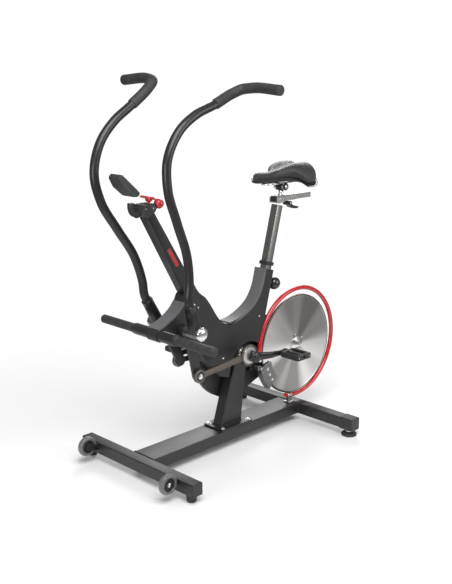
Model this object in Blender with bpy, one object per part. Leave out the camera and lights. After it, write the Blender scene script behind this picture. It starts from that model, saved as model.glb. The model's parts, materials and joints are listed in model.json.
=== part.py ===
"""Indoor training bike with moving arm levers, as one assembly of separate pieces.

Units are metres and +Z is up.  The rider faces -Y, the rider's left is +X, and X = 0 is the
plane of symmetry of the frame.  Y values are measured from the rear face of the front cross
tube, and DATUM_Y shifts the whole bike so that its bounding box is centred on the origin.
"""
from math import atan2, cos, hypot, pi, radians, sin

import bmesh
import bpy
from mathutils import Matrix, Vector

GAP = 0.0003                # air between two pieces that touch
DATUM_Y = -0.5097           # puts the middle of the bounding box at Y = 0

# base
TUBE_HEIGHT = 0.050
TUBE_DEPTH = 0.051
TUBE_WALL = 0.003
TUBE_BOTTOM_Z = 0.031
FRONT_TUBE_LENGTH = 0.664
REAR_TUBE_LENGTH = 0.725
BEAM_LENGTH = 0.869
BEAM_WIDTH = 0.118
END_CAP_THICKNESS = 0.003
REAR_CAP_LENGTH = 0.064
REAR_CAP_PROUD = 0.003
FOOT_INSET = 0.030          # foot axis to the end of its cross tube
FRONT_FOOT_RADIUS = 0.018
REAR_FOOT_RADIUS = 0.034
STUD_RADIUS = 0.005
STUD_REACH = 0.012          # how far a foot's stud rises inside its tube

# transport wheels
WHEEL_RADIUS = 0.041
WHEEL_WIDTH = 0.024
HUB_RADIUS = 0.026
WHEEL_DISH = 0.004           # how far a wheel's web lies inside its rim
WHEEL_X = 0.247
WHEEL_Z = 0.073
WHEEL_TUBE_GAP = 0.002
WHEEL_AXLE_RADIUS = 0.005
WHEEL_BRACKET_THICKNESS = 0.008

# bottom bracket and cranks
CRANK_Y = 0.532
CRANK_Z = 0.390
CRANK_LENGTH = 0.170
CRANK_REST_ANGLE = radians(-3.7)     # rider's left crank at rest, from +Y towards +Z
CRANK_BOSS_RADIUS = 0.024
CRANK_TIP_RADIUS = 0.015
CRANK_WIDTH = 0.020
CRANK_BOW = 0.014                    # outward offset of the pedal eye from the boss
AXLE_RADIUS = 0.0085
SHELL_RADIUS = 0.026
PEDAL_SPINDLE_RADIUS = 0.0065
PEDAL_LENGTH = 0.096                 # along X
PEDAL_WIDTH = 0.088                  # along Y
PEDAL_HEIGHT = 0.026
PEDAL_HUB = 0.026                    # solid middle, along Y
PEDAL_RAIL = 0.012                   # front and rear bars, along Y
PEDAL_CHEEK = 0.014                  # inner and outer walls, along X
PEDAL_EDGE = 0.010                   # how far the bevelled front and rear edges reach in
PEDAL_END = 0.010                    # closed end beyond the spindle

# arm levers and connecting rods
PIVOT_Y = 0.183
PIVOT_Z = 0.570
PIVOT_RADIUS = 0.012
HUB_SHELL_RADIUS = 0.026
LEVER_LENGTH = 0.196
LEVER_EYE_RADIUS = 0.020
LEVER_PLATE = 0.014
LEVER_REST_ANGLE = radians(11.5)     # left lever, backwards from straight down
ARM_SPREAD = radians(14.4)           # between the left and the right lever at rest
THROW = 0.026                        # eccentric throw
ECCENTRIC_ANGLE = radians(155.0)     # left eccentric at rest, from +Y towards +Z
ECCENTRIC_SIDES = 40                 # flats round an eccentric and its eye
ROD_WIDTH = 0.015
ROD_EYE_RADIUS = 0.028
ROD_EYE_BORE = 0.0185
BOLT_RADIUS = 0.0095
ROD_DEPTH = 0.024
ROD_BAR_INSET = 0.002                # bar face inside the faces of its eyes
ROD_RECESS = 0.0045                  # depth of the black ring in the front eye
ECCENTRIC_RADIUS = 0.0375
BIG_END_WALL = 0.008
ARM_X = 0.110
ARM_RADIUS = 0.0175
ARM_WALL = 0.0025
GRIP_WALL = 0.0025
GRIP_END = 0.005
ARM_SHAPE = [(0.152, 0.765), (0.141, 0.880), (0.094, 1.010), (0.050, 1.140), (0.050, 1.243),
             (0.113, 1.350), (0.190, 1.401), (0.292, 1.437)]    # (y, z) of the left arm
GRIP_RISE = (0.436, 1.496)           # corner where the grip turns outwards
GRIP_OUT = 0.200                     # how far the grip runs outwards
SLEEVE_LEAN = radians(15.0)          # sleeve axis of the left arm, forwards from upright
SLEEVE_TOP_RADIUS = 0.0225
SLEEVE_FOOT_RADIUS = 0.0255
SLEEVE_HEIGHT = 0.118
SOCKET_DEPTH = 0.060
HUB_INNER_X = 0.062
HUB_OUTER_X = 0.142
CAP_RADIUS = 0.028
CAP_DOME = 0.013

# flywheel, belt and brake
FLYWHEEL_Y = 0.887
FLYWHEEL_Z = 0.354
FLYWHEEL_RADIUS = 0.228
FLYWHEEL_FACE_X = 0.026
FLYWHEEL_THICKNESS = 0.012
SHAFT_RADIUS = 0.0085
CONE_RADIUS = 0.034
CONE_LENGTH = 0.034
RING_Y = 0.896
RING_Z = 0.361
RING_RADIUS = 0.2495
RING_TUBE_RADIUS = 0.0100
RING_X = 0.020
RING_START = radians(182.0)          # front end, measured from +Y towards +Z
RING_END = radians(-107.0)           # lower end, forward of the lowest point
RING_CLAMP_ANGLE = radians(-101.0)
RING_CLAMP_WALL = 0.003
RIM_CLEARANCE = 0.004                # from the flywheel's rim to the open top of the clamp
DRIVE_RADIUS = 0.130
DRIVEN_RADIUS = 0.0215
BELT_THICKNESS = 0.003
BELT_X = -0.046
BELT_WIDTH = 0.012
GUARD_RADIUS = 0.207
GUARD_TAIL_RADIUS = 0.060
GUARD_TOP_Z = 0.531                  # flat top, under the step of the covers
GUARD_INNER_X = -0.0300
GUARD_OUTER_X = -0.0640
GUARD_WALL = 0.0025
BRAKE_PIVOT_Y = 0.636
BRAKE_PIVOT_Z = 0.298
BRAKE_BOLT_RADIUS = 0.005
BRAKE_INNER_RADIUS = 0.182           # reach of the magnet plates over the flywheel
BRAKE_OUTER_RADIUS = 0.252
BRAKE_CLEARANCE = 0.012              # from the flywheel's rim to the fork's web

# frame
FRAME_HALF_WIDTH = 0.0245
COVER_WALL = 0.003
COVER_HALF_WIDTH = 0.0283
FRAME_WALL = 0.003
POST_HALF_WIDTH = 0.027
POST_PLATE_THICKNESS = 0.008
POST_PLATE_LENGTH = 0.182
POST_FRONT_Y = 0.406
POST_LENGTH = 0.122
POST_PLATE_FRONT_Y = 0.383
POST_TOP_RADIUS = 0.030
NOSE_HALF_WIDTH = 0.030
NOSE_WALL = 0.003
BAR_Y = 0.075
BAR_Z = 0.564
BAR_RADIUS = 0.023
BAR_END_RADIUS = 0.0150
BAR_MIDDLE = 0.240
BAR_LENGTH = 0.658
BAR_GRIP_RADIUS = 0.018

# saddle and its post
SEAT_TILT = radians(14.7)            # top leans backwards
SEAT_TUBE_Y = 0.7035
SEAT_TUBE_Z = 0.730
POST_WIDTH = 0.040
POST_DEPTH = 0.034
POST_WALL = 0.002
POST_ABOVE = 0.276                   # along the tilted axis, at rest
POST_BELOW = 0.110
HOLE_SPACING = 0.0325
HOLE_RADIUS = 0.004
HOLE_COUNT = 9
POP_PIN_ALONG = -0.060               # pin height on the same axis, from the tube's mouth
PIN_RADIUS = 0.0044
PIN_TIP_RADIUS = 0.0034
PIN_TRAVEL = 0.009                   # from parked, clear of the post, to locked in a hole
PIN_BOSS_FACE = 0.032                # face of the seat tube under the knob
COLLAR_WALL = 0.0040
COLLAR_HEIGHT = 0.016
KNOB_RADIUS = 0.0285
KNOB_REACH = 0.072
HEAD_LENGTH = 0.122
HEAD_WALL = 0.005
RAIL_WIDTH = 0.036
RAIL_HEIGHT = 0.024
RAIL_LENGTH = 0.222
RAIL_Z = 1.008
STUB_Y = 0.797
STUB_TOP_Z = 1.0592
STUB_RADIUS = 0.011
CLAMP_Z = 1.075
CLAMP_RADIUS = 0.0148
CLAMP_HALF_WIDTH = 0.031
WIRE_Z = 1.0915                      # rails of the saddle, on the clamp
WIRE_RADIUS = 0.0034
LOCK_INSET = 0.030                   # rail lock's axis, from the head's rear end
LOCK_Z = 0.998
SADDLE_NOSE_Y = 0.611
SADDLE_LENGTH = 0.335
SADDLE_HALF_WIDTH = 0.115
SADDLE_BOTTOM_Z = 1.098
SADDLE_NOSE_HALF_WIDTH = 0.030
SADDLE_TOP_Z = 1.150                 # over the nose
SADDLE_RISE = 0.028                  # how much higher the seat pads are
SADDLE_DROOP = 0.042                 # how far the wings hang at their edge
SADDLE_GROOVE = 0.018                # depth of the channel between the pads

# console, its neck and the resistance lever
CONSOLE_HALF_WIDTH = 0.033
CONSOLE_FRONT = -0.099               # along the screen plane, from the hinge side
CONSOLE_BACK = 0.015
CONSOLE_FACE = -0.014                # how far the face stands above the hinge plane
CONSOLE_TILT = radians(41.5)         # screen plane, down towards the rider
CONSOLE_HINGE_Y = -0.033
CONSOLE_HINGE_Z = 1.126
MAST_HEAD_HALF_WIDTH = 0.030
NECK_RADIUS = 0.0135
NECK_Z = 1.0460
SHIFT_Y = 0.045
SHIFT_Z = 1.062
SHIFT_ROD_Z = 1.0950                 # height of the lever's cross rod at rest
SHIFT_BALL_RADIUS = 0.0195
STALK_WIDTH = 0.008
SLOT_GAP = 0.0015


# ---------------------------------------------------------------- helpers

class Body:
    """A rigid group: an empty on its joint axis, under the empty that carries it."""

    def __init__(self, name, place=(0.0, 0.0, 0.0), carrier=None):
        self.place = Vector(place)
        self.empty = bpy.data.objects.new(name, None)
        bpy.context.scene.collection.objects.link(self.empty)
        if carrier is None:
            self.empty.location = (0.0, DATUM_Y, 0.0)
        else:
            self.empty.parent = carrier.empty
            self.empty.location = self.place - carrier.place


def clear_scene():
    for item in list(bpy.data.objects):
        bpy.data.objects.remove(item, do_unlink=True)


def paint(name, color, roughness, metallic):
    material = bpy.data.materials.new(name)
    material.use_nodes = True
    shader = material.node_tree.nodes["Principled BSDF"]
    shader.inputs["Base Color"].default_value = (*color, 1.0)
    shader.inputs["Roughness"].default_value = roughness
    shader.inputs["Metallic"].default_value = metallic
    return material


FINISHES = {
    "black_paint": ((0.022, 0.022, 0.023), 0.42, 0.0),
    "black_plastic": ((0.035, 0.035, 0.037), 0.55, 0.0),
    "grey_plastic": ((0.085, 0.085, 0.088), 0.50, 0.0),
    "rubber": ((0.018, 0.018, 0.018), 0.80, 0.0),
    "clear_tyre": ((0.23, 0.23, 0.24), 0.45, 0.0),
    "chrome": ((0.82, 0.82, 0.83), 0.10, 1.0),
    "satin_silver": ((0.52, 0.52, 0.50), 0.33, 1.0),
    "forged_steel": ((0.30, 0.26, 0.23), 0.38, 1.0),
    "spun_aluminium": ((0.80, 0.78, 0.76), 0.24, 1.0),
    "red_paint": ((0.56, 0.022, 0.020), 0.30, 0.0),
    "red_plastic": ((0.50, 0.018, 0.020), 0.35, 0.0),
    "vinyl": ((0.020, 0.020, 0.021), 0.48, 0.0),
    "screen": ((0.015, 0.018, 0.020), 0.12, 0.0),
}


def piece(name, mesh, body, finish, sharp_angle=35.0):
    """Put a mesh, given in datum coordinates, into its own object on a body."""
    mesh.transform(Matrix.Translation(-body.place))
    mesh.materials.clear()
    mesh.materials.append(paint(name, *FINISHES[finish]))
    mesh.shade_smooth()
    mesh.set_sharp_from_angle(angle=radians(sharp_angle))
    item = bpy.data.objects.new(name, mesh)
    item.parent = body.empty
    bpy.context.scene.collection.objects.link(item)
    return item


def operand(name, mesh, body):
    """A hidden cutter or addition for a Boolean modifier."""
    item = bpy.data.objects.new(name, mesh)
    mesh.transform(Matrix.Translation(-body.place))
    item.parent = body.empty
    item.hide_render = True
    item.display_type = "WIRE"
    bpy.context.scene.collection.objects.link(item)
    return item


def combine(item, body, meshes, operation):
    for index, mesh in enumerate(meshes):
        label = f"{operation.lower()}_{item.name}_{index}"
        modifier = item.modifiers.new(label, "BOOLEAN")
        modifier.operation = operation
        modifier.solver = "EXACT"
        modifier.object = operand(label, mesh, body)


def cut(item, body, *meshes):
    combine(item, body, meshes, "DIFFERENCE")


def join(item, body, *meshes):
    combine(item, body, meshes, "UNION")


def finish_mesh(working, name):
    bmesh.ops.remove_doubles(working, verts=working.verts, dist=1e-6)
    bmesh.ops.recalc_face_normals(working, faces=working.faces)
    mesh = bpy.data.meshes.new(name)
    working.to_mesh(mesh)
    working.free()
    return mesh


def box(x0, x1, y0, y1, z0, z1, bevel=0.0):
    working = bmesh.new()
    bmesh.ops.create_cube(working, size=1.0)
    for vertex in working.verts:
        vertex.co.x = x1 if vertex.co.x > 0 else x0
        vertex.co.y = y1 if vertex.co.y > 0 else y0
        vertex.co.z = z1 if vertex.co.z > 0 else z0
    if bevel:
        bmesh.ops.bevel(working, geom=working.edges[:], offset=bevel, segments=2,
                        profile=0.5, affect="EDGES")
    return finish_mesh(working, "box")


def prism(outline, x0, x1, bevel=0.0):
    """An outline in the YZ plane, extruded along X."""
    working = bmesh.new()
    face = working.faces.new([working.verts.new((x0, y, z)) for y, z in outline])
    made = bmesh.ops.extrude_face_region(working, geom=[face])
    bmesh.ops.translate(working, vec=(x1 - x0, 0, 0),
                        verts=[v for v in made["geom"] if isinstance(v, bmesh.types.BMVert)])
    if bevel:
        rim = [e for e in working.edges if abs(e.verts[0].co.x - e.verts[1].co.x) < 1e-9]
        bmesh.ops.bevel(working, geom=rim, offset=bevel, segments=2, profile=0.5, affect="EDGES")
    return finish_mesh(working, "prism")


def turned(profile, y, z, sides=20, ring=False):
    """A profile of (x, radius) turned about the X line through (y, z)."""
    working = bmesh.new()
    loops = []
    for x, radius in profile:
        if radius == 0.0:
            loops.append([working.verts.new((x, y, z))])
            continue
        loops.append([working.verts.new((x, y + radius * cos(2 * pi * i / sides),
                                         z + radius * sin(2 * pi * i / sides)))
                      for i in range(sides)])
    pairs = list(zip(loops, loops[1:]))
    if ring:
        pairs.append((loops[-1], loops[0]))
    for first, second in pairs:
        for i in range(sides):
            corners = [first[i % len(first)], first[(i + 1) % len(first)],
                       second[(i + 1) % len(second)], second[i % len(second)]]
            unique = list(dict.fromkeys(corners))
            if len(unique) > 2:
                working.faces.new(unique)
    return finish_mesh(working, "turned")


def rod(start, end, radius, end_radius=None, sides=16):
    """A round bar or cone between two points."""
    start = Vector(start)
    end = Vector(end)
    working = bmesh.new()
    bmesh.ops.create_cone(working, cap_ends=True, segments=sides, radius1=radius,
                          radius2=radius if end_radius is None else end_radius,
                          depth=(end - start).length)
    turn = Vector((0, 0, 1)).rotation_difference(end - start).to_matrix().to_4x4()
    bmesh.ops.transform(working, matrix=Matrix.Translation((start + end) / 2) @ turn,
                        verts=working.verts)
    return finish_mesh(working, "rod")


def arc(y, z, radius, start, end, steps):
    return [(y + radius * cos(start + (end - start) * i / steps),
             z + radius * sin(start + (end - start) * i / steps)) for i in range(steps + 1)]


def capsule(first, second, first_radius, second_radius, steps=10):
    """Outline around two circles and the two lines that touch both."""
    dy = second[0] - first[0]
    dz = second[1] - first[1]
    heading = atan2(dz, dy)
    lean = pi / 2 - (first_radius - second_radius) / hypot(dy, dz)
    return (arc(*first, first_radius, heading + lean, heading + 2 * pi - lean, steps)
            + arc(*second, second_radius, heading - lean, heading + lean, steps))


def inset(outline, distance):
    """The outline moved inwards; its points run anticlockwise seen from +X."""
    moved = []
    count = len(outline)
    for i in range(count):
        before = Vector(outline[i - 1])
        here = Vector(outline[i])
        after = Vector(outline[(i + 1) % count])
        arriving = (here - before).normalized()
        leaving = (after - here).normalized()
        inward = Vector((-arriving.y - leaving.y, arriving.x + leaving.x)).normalized()
        spread = max(0.35, inward.dot(Vector((-arriving.y, arriving.x))))
        moved.append(tuple(here + inward * distance / spread))
    return moved


def swept(points, radius, steps=6, sides=3, capped=True):
    """A round bar along a smooth curve through the points."""
    curve = bpy.data.curves.new("swept", "CURVE")
    curve.dimensions = "3D"
    curve.bevel_depth = radius
    curve.bevel_resolution = sides
    curve.resolution_u = steps
    curve.use_fill_caps = capped
    spline = curve.splines.new("BEZIER")
    spline.bezier_points.add(len(points) - 1)
    for knot, point in zip(spline.bezier_points, points):
        knot.co = point
        knot.handle_left_type = "AUTO"
        knot.handle_right_type = "AUTO"
    holder = bpy.data.objects.new("swept", curve)
    bpy.context.scene.collection.objects.link(holder)
    working = bmesh.new()
    working.from_mesh(holder.to_mesh())
    bpy.data.objects.remove(holder)
    return finish_mesh(working, "swept")


def bent_bar(x, centre, bend, radius, start, end, steps, sides):
    """A round bar bent to a circular arc in the plane at x."""
    working = bmesh.new()
    rings = []
    for i in range(steps + 1):
        angle = start + (end - start) * i / steps
        rings.append([working.verts.new((x + radius * cos(2 * pi * j / sides),
                                         centre[0] + (bend + radius * sin(2 * pi * j / sides))
                                         * cos(angle),
                                         centre[1] + (bend + radius * sin(2 * pi * j / sides))
                                         * sin(angle))) for j in range(sides)])
    for first, second in zip(rings, rings[1:]):
        for j in range(sides):
            k = (j + 1) % sides
            working.faces.new((first[j], first[k], second[k], second[j]))
    working.faces.new(rings[0])
    working.faces.new(rings[-1])
    return finish_mesh(working, "bent_bar")


def sides_of(name):
    """Both sides of the bike: +1 is the rider's left."""
    return ((1, f"left_{name}"), (-1, f"right_{name}"))


# ---------------------------------------------------------------- shared places

TUBE_TOP_Z = TUBE_BOTTOM_Z + TUBE_HEIGHT
POST_PLATE_TOP_Z = TUBE_TOP_Z + GAP + POST_PLATE_THICKNESS
REAR_TUBE_BACK_Y = BEAM_LENGTH + TUBE_DEPTH
WHEEL_Y = -TUBE_DEPTH - WHEEL_TUBE_GAP - WHEEL_RADIUS
LEVER_INNER_X = HUB_INNER_X + 0.004
ROD_INNER_X = LEVER_INNER_X + LEVER_PLATE + 0.0005
ROD_OUTER_X = ROD_INNER_X + ROD_WIDTH
CRANK_INNER_X = ROD_OUTER_X + 0.0015
PEDAL_INNER_X = CRANK_INNER_X + CRANK_BOW + CRANK_WIDTH + 0.002
SEAT_AXIS = Vector((0.0, sin(SEAT_TILT), cos(SEAT_TILT)))
SEAT_BACK = Vector((0.0, cos(SEAT_TILT), -sin(SEAT_TILT)))
SEAT_FOOT = Vector((0.0, SEAT_TUBE_Y, SEAT_TUBE_Z))


def lever_end(side):
    """Centre (y, z) of the pin that joins a lever and its rod, at rest."""
    angle = LEVER_REST_ANGLE + (0.0 if side > 0 else ARM_SPREAD)
    return PIVOT_Y + LEVER_LENGTH * sin(angle), PIVOT_Z - LEVER_LENGTH * cos(angle)


def eccentric_centre(side):
    return (CRANK_Y + side * THROW * cos(ECCENTRIC_ANGLE),
            CRANK_Z + side * THROW * sin(ECCENTRIC_ANGLE))


def pedal_centre(side):
    return (CRANK_Y + side * CRANK_LENGTH * cos(CRANK_REST_ANGLE),
            CRANK_Z + side * CRANK_LENGTH * sin(CRANK_REST_ANGLE))


# ---------------------------------------------------------------- base

def build_base(root):
    half_front = FRONT_TUBE_LENGTH / 2
    half_rear = REAR_TUBE_LENGTH / 2
    frame = piece("base_frame", box(-half_front, half_front, -TUBE_DEPTH, 0,
                                    TUBE_BOTTOM_Z, TUBE_TOP_Z), root, "black_paint")
    join(frame, root,
         box(-BEAM_WIDTH / 2, BEAM_WIDTH / 2, -TUBE_DEPTH / 2, BEAM_LENGTH + TUBE_DEPTH / 2,
             TUBE_BOTTOM_Z, TUBE_TOP_Z),
         box(-half_rear, half_rear, BEAM_LENGTH, REAR_TUBE_BACK_Y, TUBE_BOTTOM_Z, TUBE_TOP_Z))
    low = TUBE_BOTTOM_Z + TUBE_WALL
    high = TUBE_TOP_Z - TUBE_WALL
    bores = [box(-1, 1, -TUBE_DEPTH + TUBE_WALL, -TUBE_WALL, low, high),
             box(-1, 1, BEAM_LENGTH + TUBE_WALL, REAR_TUBE_BACK_Y - TUBE_WALL, low, high),
             box(-BEAM_WIDTH / 2 + TUBE_WALL, BEAM_WIDTH / 2 - TUBE_WALL, -TUBE_DEPTH / 2,
                 BEAM_LENGTH + TUBE_DEPTH / 2, low, high)]
    for y, half in ((-TUBE_DEPTH / 2, half_front), (BEAM_LENGTH + TUBE_DEPTH / 2, half_rear)):
        for side in (1, -1):
            x = side * (half - FOOT_INSET)
            bores.append(rod((x, y, TUBE_BOTTOM_Z - 0.001), (x, y, low + 0.001),
                             STUD_RADIUS + GAP, sides=12))
    cut(frame, root, *bores)


def build_end_caps(root):
    low = TUBE_BOTTOM_Z + TUBE_WALL + GAP
    high = TUBE_TOP_Z - TUBE_WALL - GAP
    for side, name in sides_of("front_end_cap"):
        end = side * (FRONT_TUBE_LENGTH / 2 + GAP)
        outer = end + side * END_CAP_THICKNESS
        cap = piece(name, box(*sorted((end, outer)), -TUBE_DEPTH, 0, TUBE_BOTTOM_Z, TUBE_TOP_Z,
                              bevel=0.0008), root, "black_plastic")
        join(cap, root, box(*sorted((end - side * 0.014, end + side * 0.001)),
                            -TUBE_DEPTH + TUBE_WALL + GAP, -TUBE_WALL - GAP, low, high))
    for side, name in sides_of("rear_end_cap"):
        end = REAR_TUBE_LENGTH / 2
        y0 = BEAM_LENGTH - REAR_CAP_PROUD
        y1 = REAR_TUBE_BACK_Y + REAR_CAP_PROUD
        inner = side * (end - REAR_CAP_LENGTH)
        outer = side * (end + GAP + END_CAP_THICKNESS)
        cap = piece(name, box(*sorted((inner, outer)), y0, y1, TUBE_BOTTOM_Z - REAR_CAP_PROUD,
                              TUBE_TOP_Z + REAR_CAP_PROUD, bevel=0.0015), root, "black_plastic")
        x = side * (end - FOOT_INSET)
        y = BEAM_LENGTH + TUBE_DEPTH / 2
        cut(cap, root,
            box(*sorted((inner - side, side * (end + GAP))), BEAM_LENGTH - GAP,
                REAR_TUBE_BACK_Y + GAP, TUBE_BOTTOM_Z - GAP, TUBE_TOP_Z + GAP),
            rod((x, y, 0.02), (x, y, TUBE_BOTTOM_Z + 0.001), STUD_RADIUS + GAP, sides=12))


def upright(profile, x, y, sides=14):
    """A profile of (z, radius) turned about a vertical line."""
    mesh = turned(profile, 0, 0, sides)
    mesh.transform(Matrix.Translation((x, y, 0)) @ Matrix.Rotation(-pi / 2, 4, "Y"))
    return mesh


def build_feet(root):
    top = TUBE_BOTTOM_Z - GAP
    stud_top = TUBE_BOTTOM_Z + STUD_REACH
    for side, name in sides_of("front_foot"):
        profile = [(0.0, 0.0), (0.0, FRONT_FOOT_RADIUS - 0.002), (0.003, FRONT_FOOT_RADIUS),
                   (top, FRONT_FOOT_RADIUS + 0.004), (top, STUD_RADIUS),
                   (stud_top, STUD_RADIUS), (stud_top, 0.0)]
        piece(name, upright(profile, side * (FRONT_TUBE_LENGTH / 2 - FOOT_INSET),
                            -TUBE_DEPTH / 2), root, "rubber")
    top = top - REAR_CAP_PROUD
    for side, name in sides_of("rear_foot"):
        profile = [(0.0, 0.0), (0.0, REAR_FOOT_RADIUS - 0.003), (0.003, REAR_FOOT_RADIUS),
                   (0.011, REAR_FOOT_RADIUS), (0.015, 0.014), (top, 0.012), (top, STUD_RADIUS),
                   (stud_top, STUD_RADIUS), (stud_top, 0.0)]
        piece(name, upright(profile, side * (REAR_TUBE_LENGTH / 2 - FOOT_INSET),
                            BEAM_LENGTH + TUBE_DEPTH / 2), root, "rubber")


def build_transport_wheels(root):
    half = WHEEL_WIDTH / 2
    for side, name in sides_of("transport_wheel"):
        x = side * WHEEL_X
        wheel = Body(f"body_{name}", (x, WHEEL_Y, WHEEL_Z), root)
        bore = WHEEL_AXLE_RADIUS + GAP
        dish = half - WHEEL_DISH
        tyre = [(x - half, bore), (x - half, 0.012), (x - dish, 0.014), (x - dish, HUB_RADIUS),
                (x - half, HUB_RADIUS + 0.002), (x - half, WHEEL_RADIUS - 0.007),
                (x - half + 0.003, WHEEL_RADIUS - 0.002), (x, WHEEL_RADIUS),
                (x + half - 0.003, WHEEL_RADIUS - 0.002), (x + half, WHEEL_RADIUS - 0.007),
                (x + half, HUB_RADIUS + 0.002), (x + dish, HUB_RADIUS), (x + dish, 0.014),
                (x + half, 0.012), (x + half, bore)]
        piece(name, turned(tyre, WHEEL_Y, WHEEL_Z, 16, ring=True), wheel, "clear_tyre")
    for side, name in sides_of("wheel_bracket"):
        inner = side * (WHEEL_X - half - GAP)
        back = inner - side * WHEEL_BRACKET_THICKNESS
        tail = -TUBE_DEPTH - GAP
        outline = [(tail, WHEEL_Z - 0.024), (tail, TUBE_TOP_Z - 0.004)]
        outline += arc(WHEEL_Y, WHEEL_Z, 0.014, radians(90), radians(270), 8)
        bracket = piece(name, prism(outline, *sorted((inner, back))), root, "black_paint")
        join(bracket, root,
             rod((back + side * 0.002, WHEEL_Y, WHEEL_Z),
                 (side * (WHEEL_X + half - 0.001), WHEEL_Y, WHEEL_Z), WHEEL_AXLE_RADIUS, sides=14))


# ---------------------------------------------------------------- frame

def cover_outline():
    """Outline of the V frame without the mast, anticlockwise seen from +X."""
    seat_front = [(0.668, 0.735), (0.660, 0.700), (0.644, 0.652)]
    valley = [(0.613, 0.606), (0.584, 0.583), (0.552, 0.566), (0.505, 0.548), (0.462, 0.541),
              (0.427, 0.541)]
    down_tube = [(0.389, 0.575), (0.346, 0.637), (0.316, 0.674), (0.283, 0.699), (0.247, 0.752)]
    front = [(0.209, 0.703), (0.247, 0.590), (0.262, 0.500), (0.318, 0.400), (0.398, 0.318)]
    arch = arc(0.570, 0.325, 0.107, radians(165), radians(55), 9)
    rear = [(0.637, 0.430), (0.668, 0.500), (0.726, 0.722)]
    return front + [(0.452, 0.300)] + arch + rear + seat_front + valley + down_tube


def frame_outline():
    """The welded box inside the covers, mast included, anticlockwise seen from +X."""
    body = inset(cover_outline(), COVER_WALL + GAP)
    return body[1:-1] + [(0.247, 0.752), (0.058, 1.049), (0.022, 1.028), (0.209, 0.703)]


def seat_box(half_x, half_y, low, high):
    """A box along the seat post's tilted axis, from low to high above the tube's mouth."""
    mesh = box(-half_x, half_x, -half_y, half_y, low, high)
    mesh.transform(Matrix.Translation(SEAT_FOOT) @ Matrix.Rotation(-SEAT_TILT, 4, "X"))
    return mesh


def seat_point(along, back=0.0, x=0.0):
    return SEAT_FOOT + SEAT_AXIS * along + SEAT_BACK * back + Vector((x, 0, 0))


def build_main_frame(root):
    outline = frame_outline()
    frame = piece("main_frame", prism(outline, -FRAME_HALF_WIDTH, FRAME_HALF_WIDTH), root,
                  "black_paint")
    inner = FRAME_HALF_WIDTH - FRAME_WALL
    hollow = prism(inset(outline, FRAME_WALL), -inner, inner)
    pin = rod(seat_point(POP_PIN_ALONG), seat_point(POP_PIN_ALONG, 0.05), 0.0095, sides=16)
    cut(frame, root, hollow,
        seat_box(POST_WIDTH / 2 + GAP, POST_DEPTH / 2 + GAP, -0.25, 0.05),
        prism([(0.036, 1.040), (0.046, 1.046), (0.036, 1.080), (0.010, 1.065)], -0.015, 0.015),
        pin,
        turned([(-1, 0), (-1, SHELL_RADIUS + GAP), (1, SHELL_RADIUS + GAP), (1, 0)],
               CRANK_Y, CRANK_Z, 16))


def build_covers(root):
    shell = cover_outline()
    pin = rod(seat_point(POP_PIN_ALONG), seat_point(POP_PIN_ALONG, 0.06), 0.0095, sides=16)
    for side, name in sides_of("frame_cover"):
        edge = side * GAP / 2
        face = side * COVER_HALF_WIDTH
        wall = side * (COVER_HALF_WIDTH - COVER_WALL)
        cover = piece(name, prism(shell, *sorted((edge, face))), root, "black_plastic")
        cut(cover, root, prism(inset(frame_outline(), -GAP), *sorted((-side, wall))), pin,
            seat_box(POST_WIDTH / 2 + 0.001, POST_DEPTH / 2 + 0.001, -0.03, 0.05))


def build_upright(root):
    """The post that carries the frame: base plate, tapered box and bearing shell."""
    plate_x = BEAM_WIDTH / 2 - 0.001
    base_z = TUBE_TOP_Z + GAP
    outline = [(POST_FRONT_Y, base_z), (POST_FRONT_Y + POST_LENGTH, base_z)]
    outline += arc(CRANK_Y, CRANK_Z, POST_TOP_RADIUS, radians(5), radians(160), 12)
    post = piece("upright_post", prism(outline, -POST_HALF_WIDTH, POST_HALF_WIDTH), root,
                 "black_paint")
    join(post, root,
         box(-plate_x, plate_x, POST_PLATE_FRONT_Y, POST_PLATE_FRONT_Y + POST_PLATE_LENGTH,
             base_z, POST_PLATE_TOP_Z))
    hollow = [(POST_FRONT_Y + 0.005, base_z - 0.01), (POST_FRONT_Y + POST_LENGTH - 0.005,
                                                      base_z - 0.01),
              (CRANK_Y + 0.020, CRANK_Z - 0.045), (CRANK_Y - 0.024, CRANK_Z - 0.045)]
    inner = POST_HALF_WIDTH - 0.004
    cut(post, root, prism(hollow, -inner, inner),
        turned([(-1, 0), (-1, SHELL_RADIUS + GAP), (1, SHELL_RADIUS + GAP), (1, 0)],
               CRANK_Y, CRANK_Z, 16))
    shell = [(-POST_HALF_WIDTH, AXLE_RADIUS + GAP), (-POST_HALF_WIDTH, SHELL_RADIUS),
             (POST_HALF_WIDTH + 0.006, SHELL_RADIUS), (POST_HALF_WIDTH + 0.006, AXLE_RADIUS + GAP)]
    piece("crank_bearing", turned(shell, CRANK_Y, CRANK_Z, 16, ring=True), root, "satin_silver")


def nose_outline():
    top = [(0.2086, 0.7030), (0.196, 0.676), (0.176, 0.652), (0.146, 0.629), (0.104, 0.607),
           (0.062, 0.5905)]
    wrap = arc(BAR_Y, BAR_Z, BAR_RADIUS + 0.004, radians(118), radians(285), 9)
    low = [(0.170, 0.525), (0.2590, 0.498)]
    frame_side = [(0.2463, 0.5895)]
    return top + wrap + low + frame_side


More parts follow.
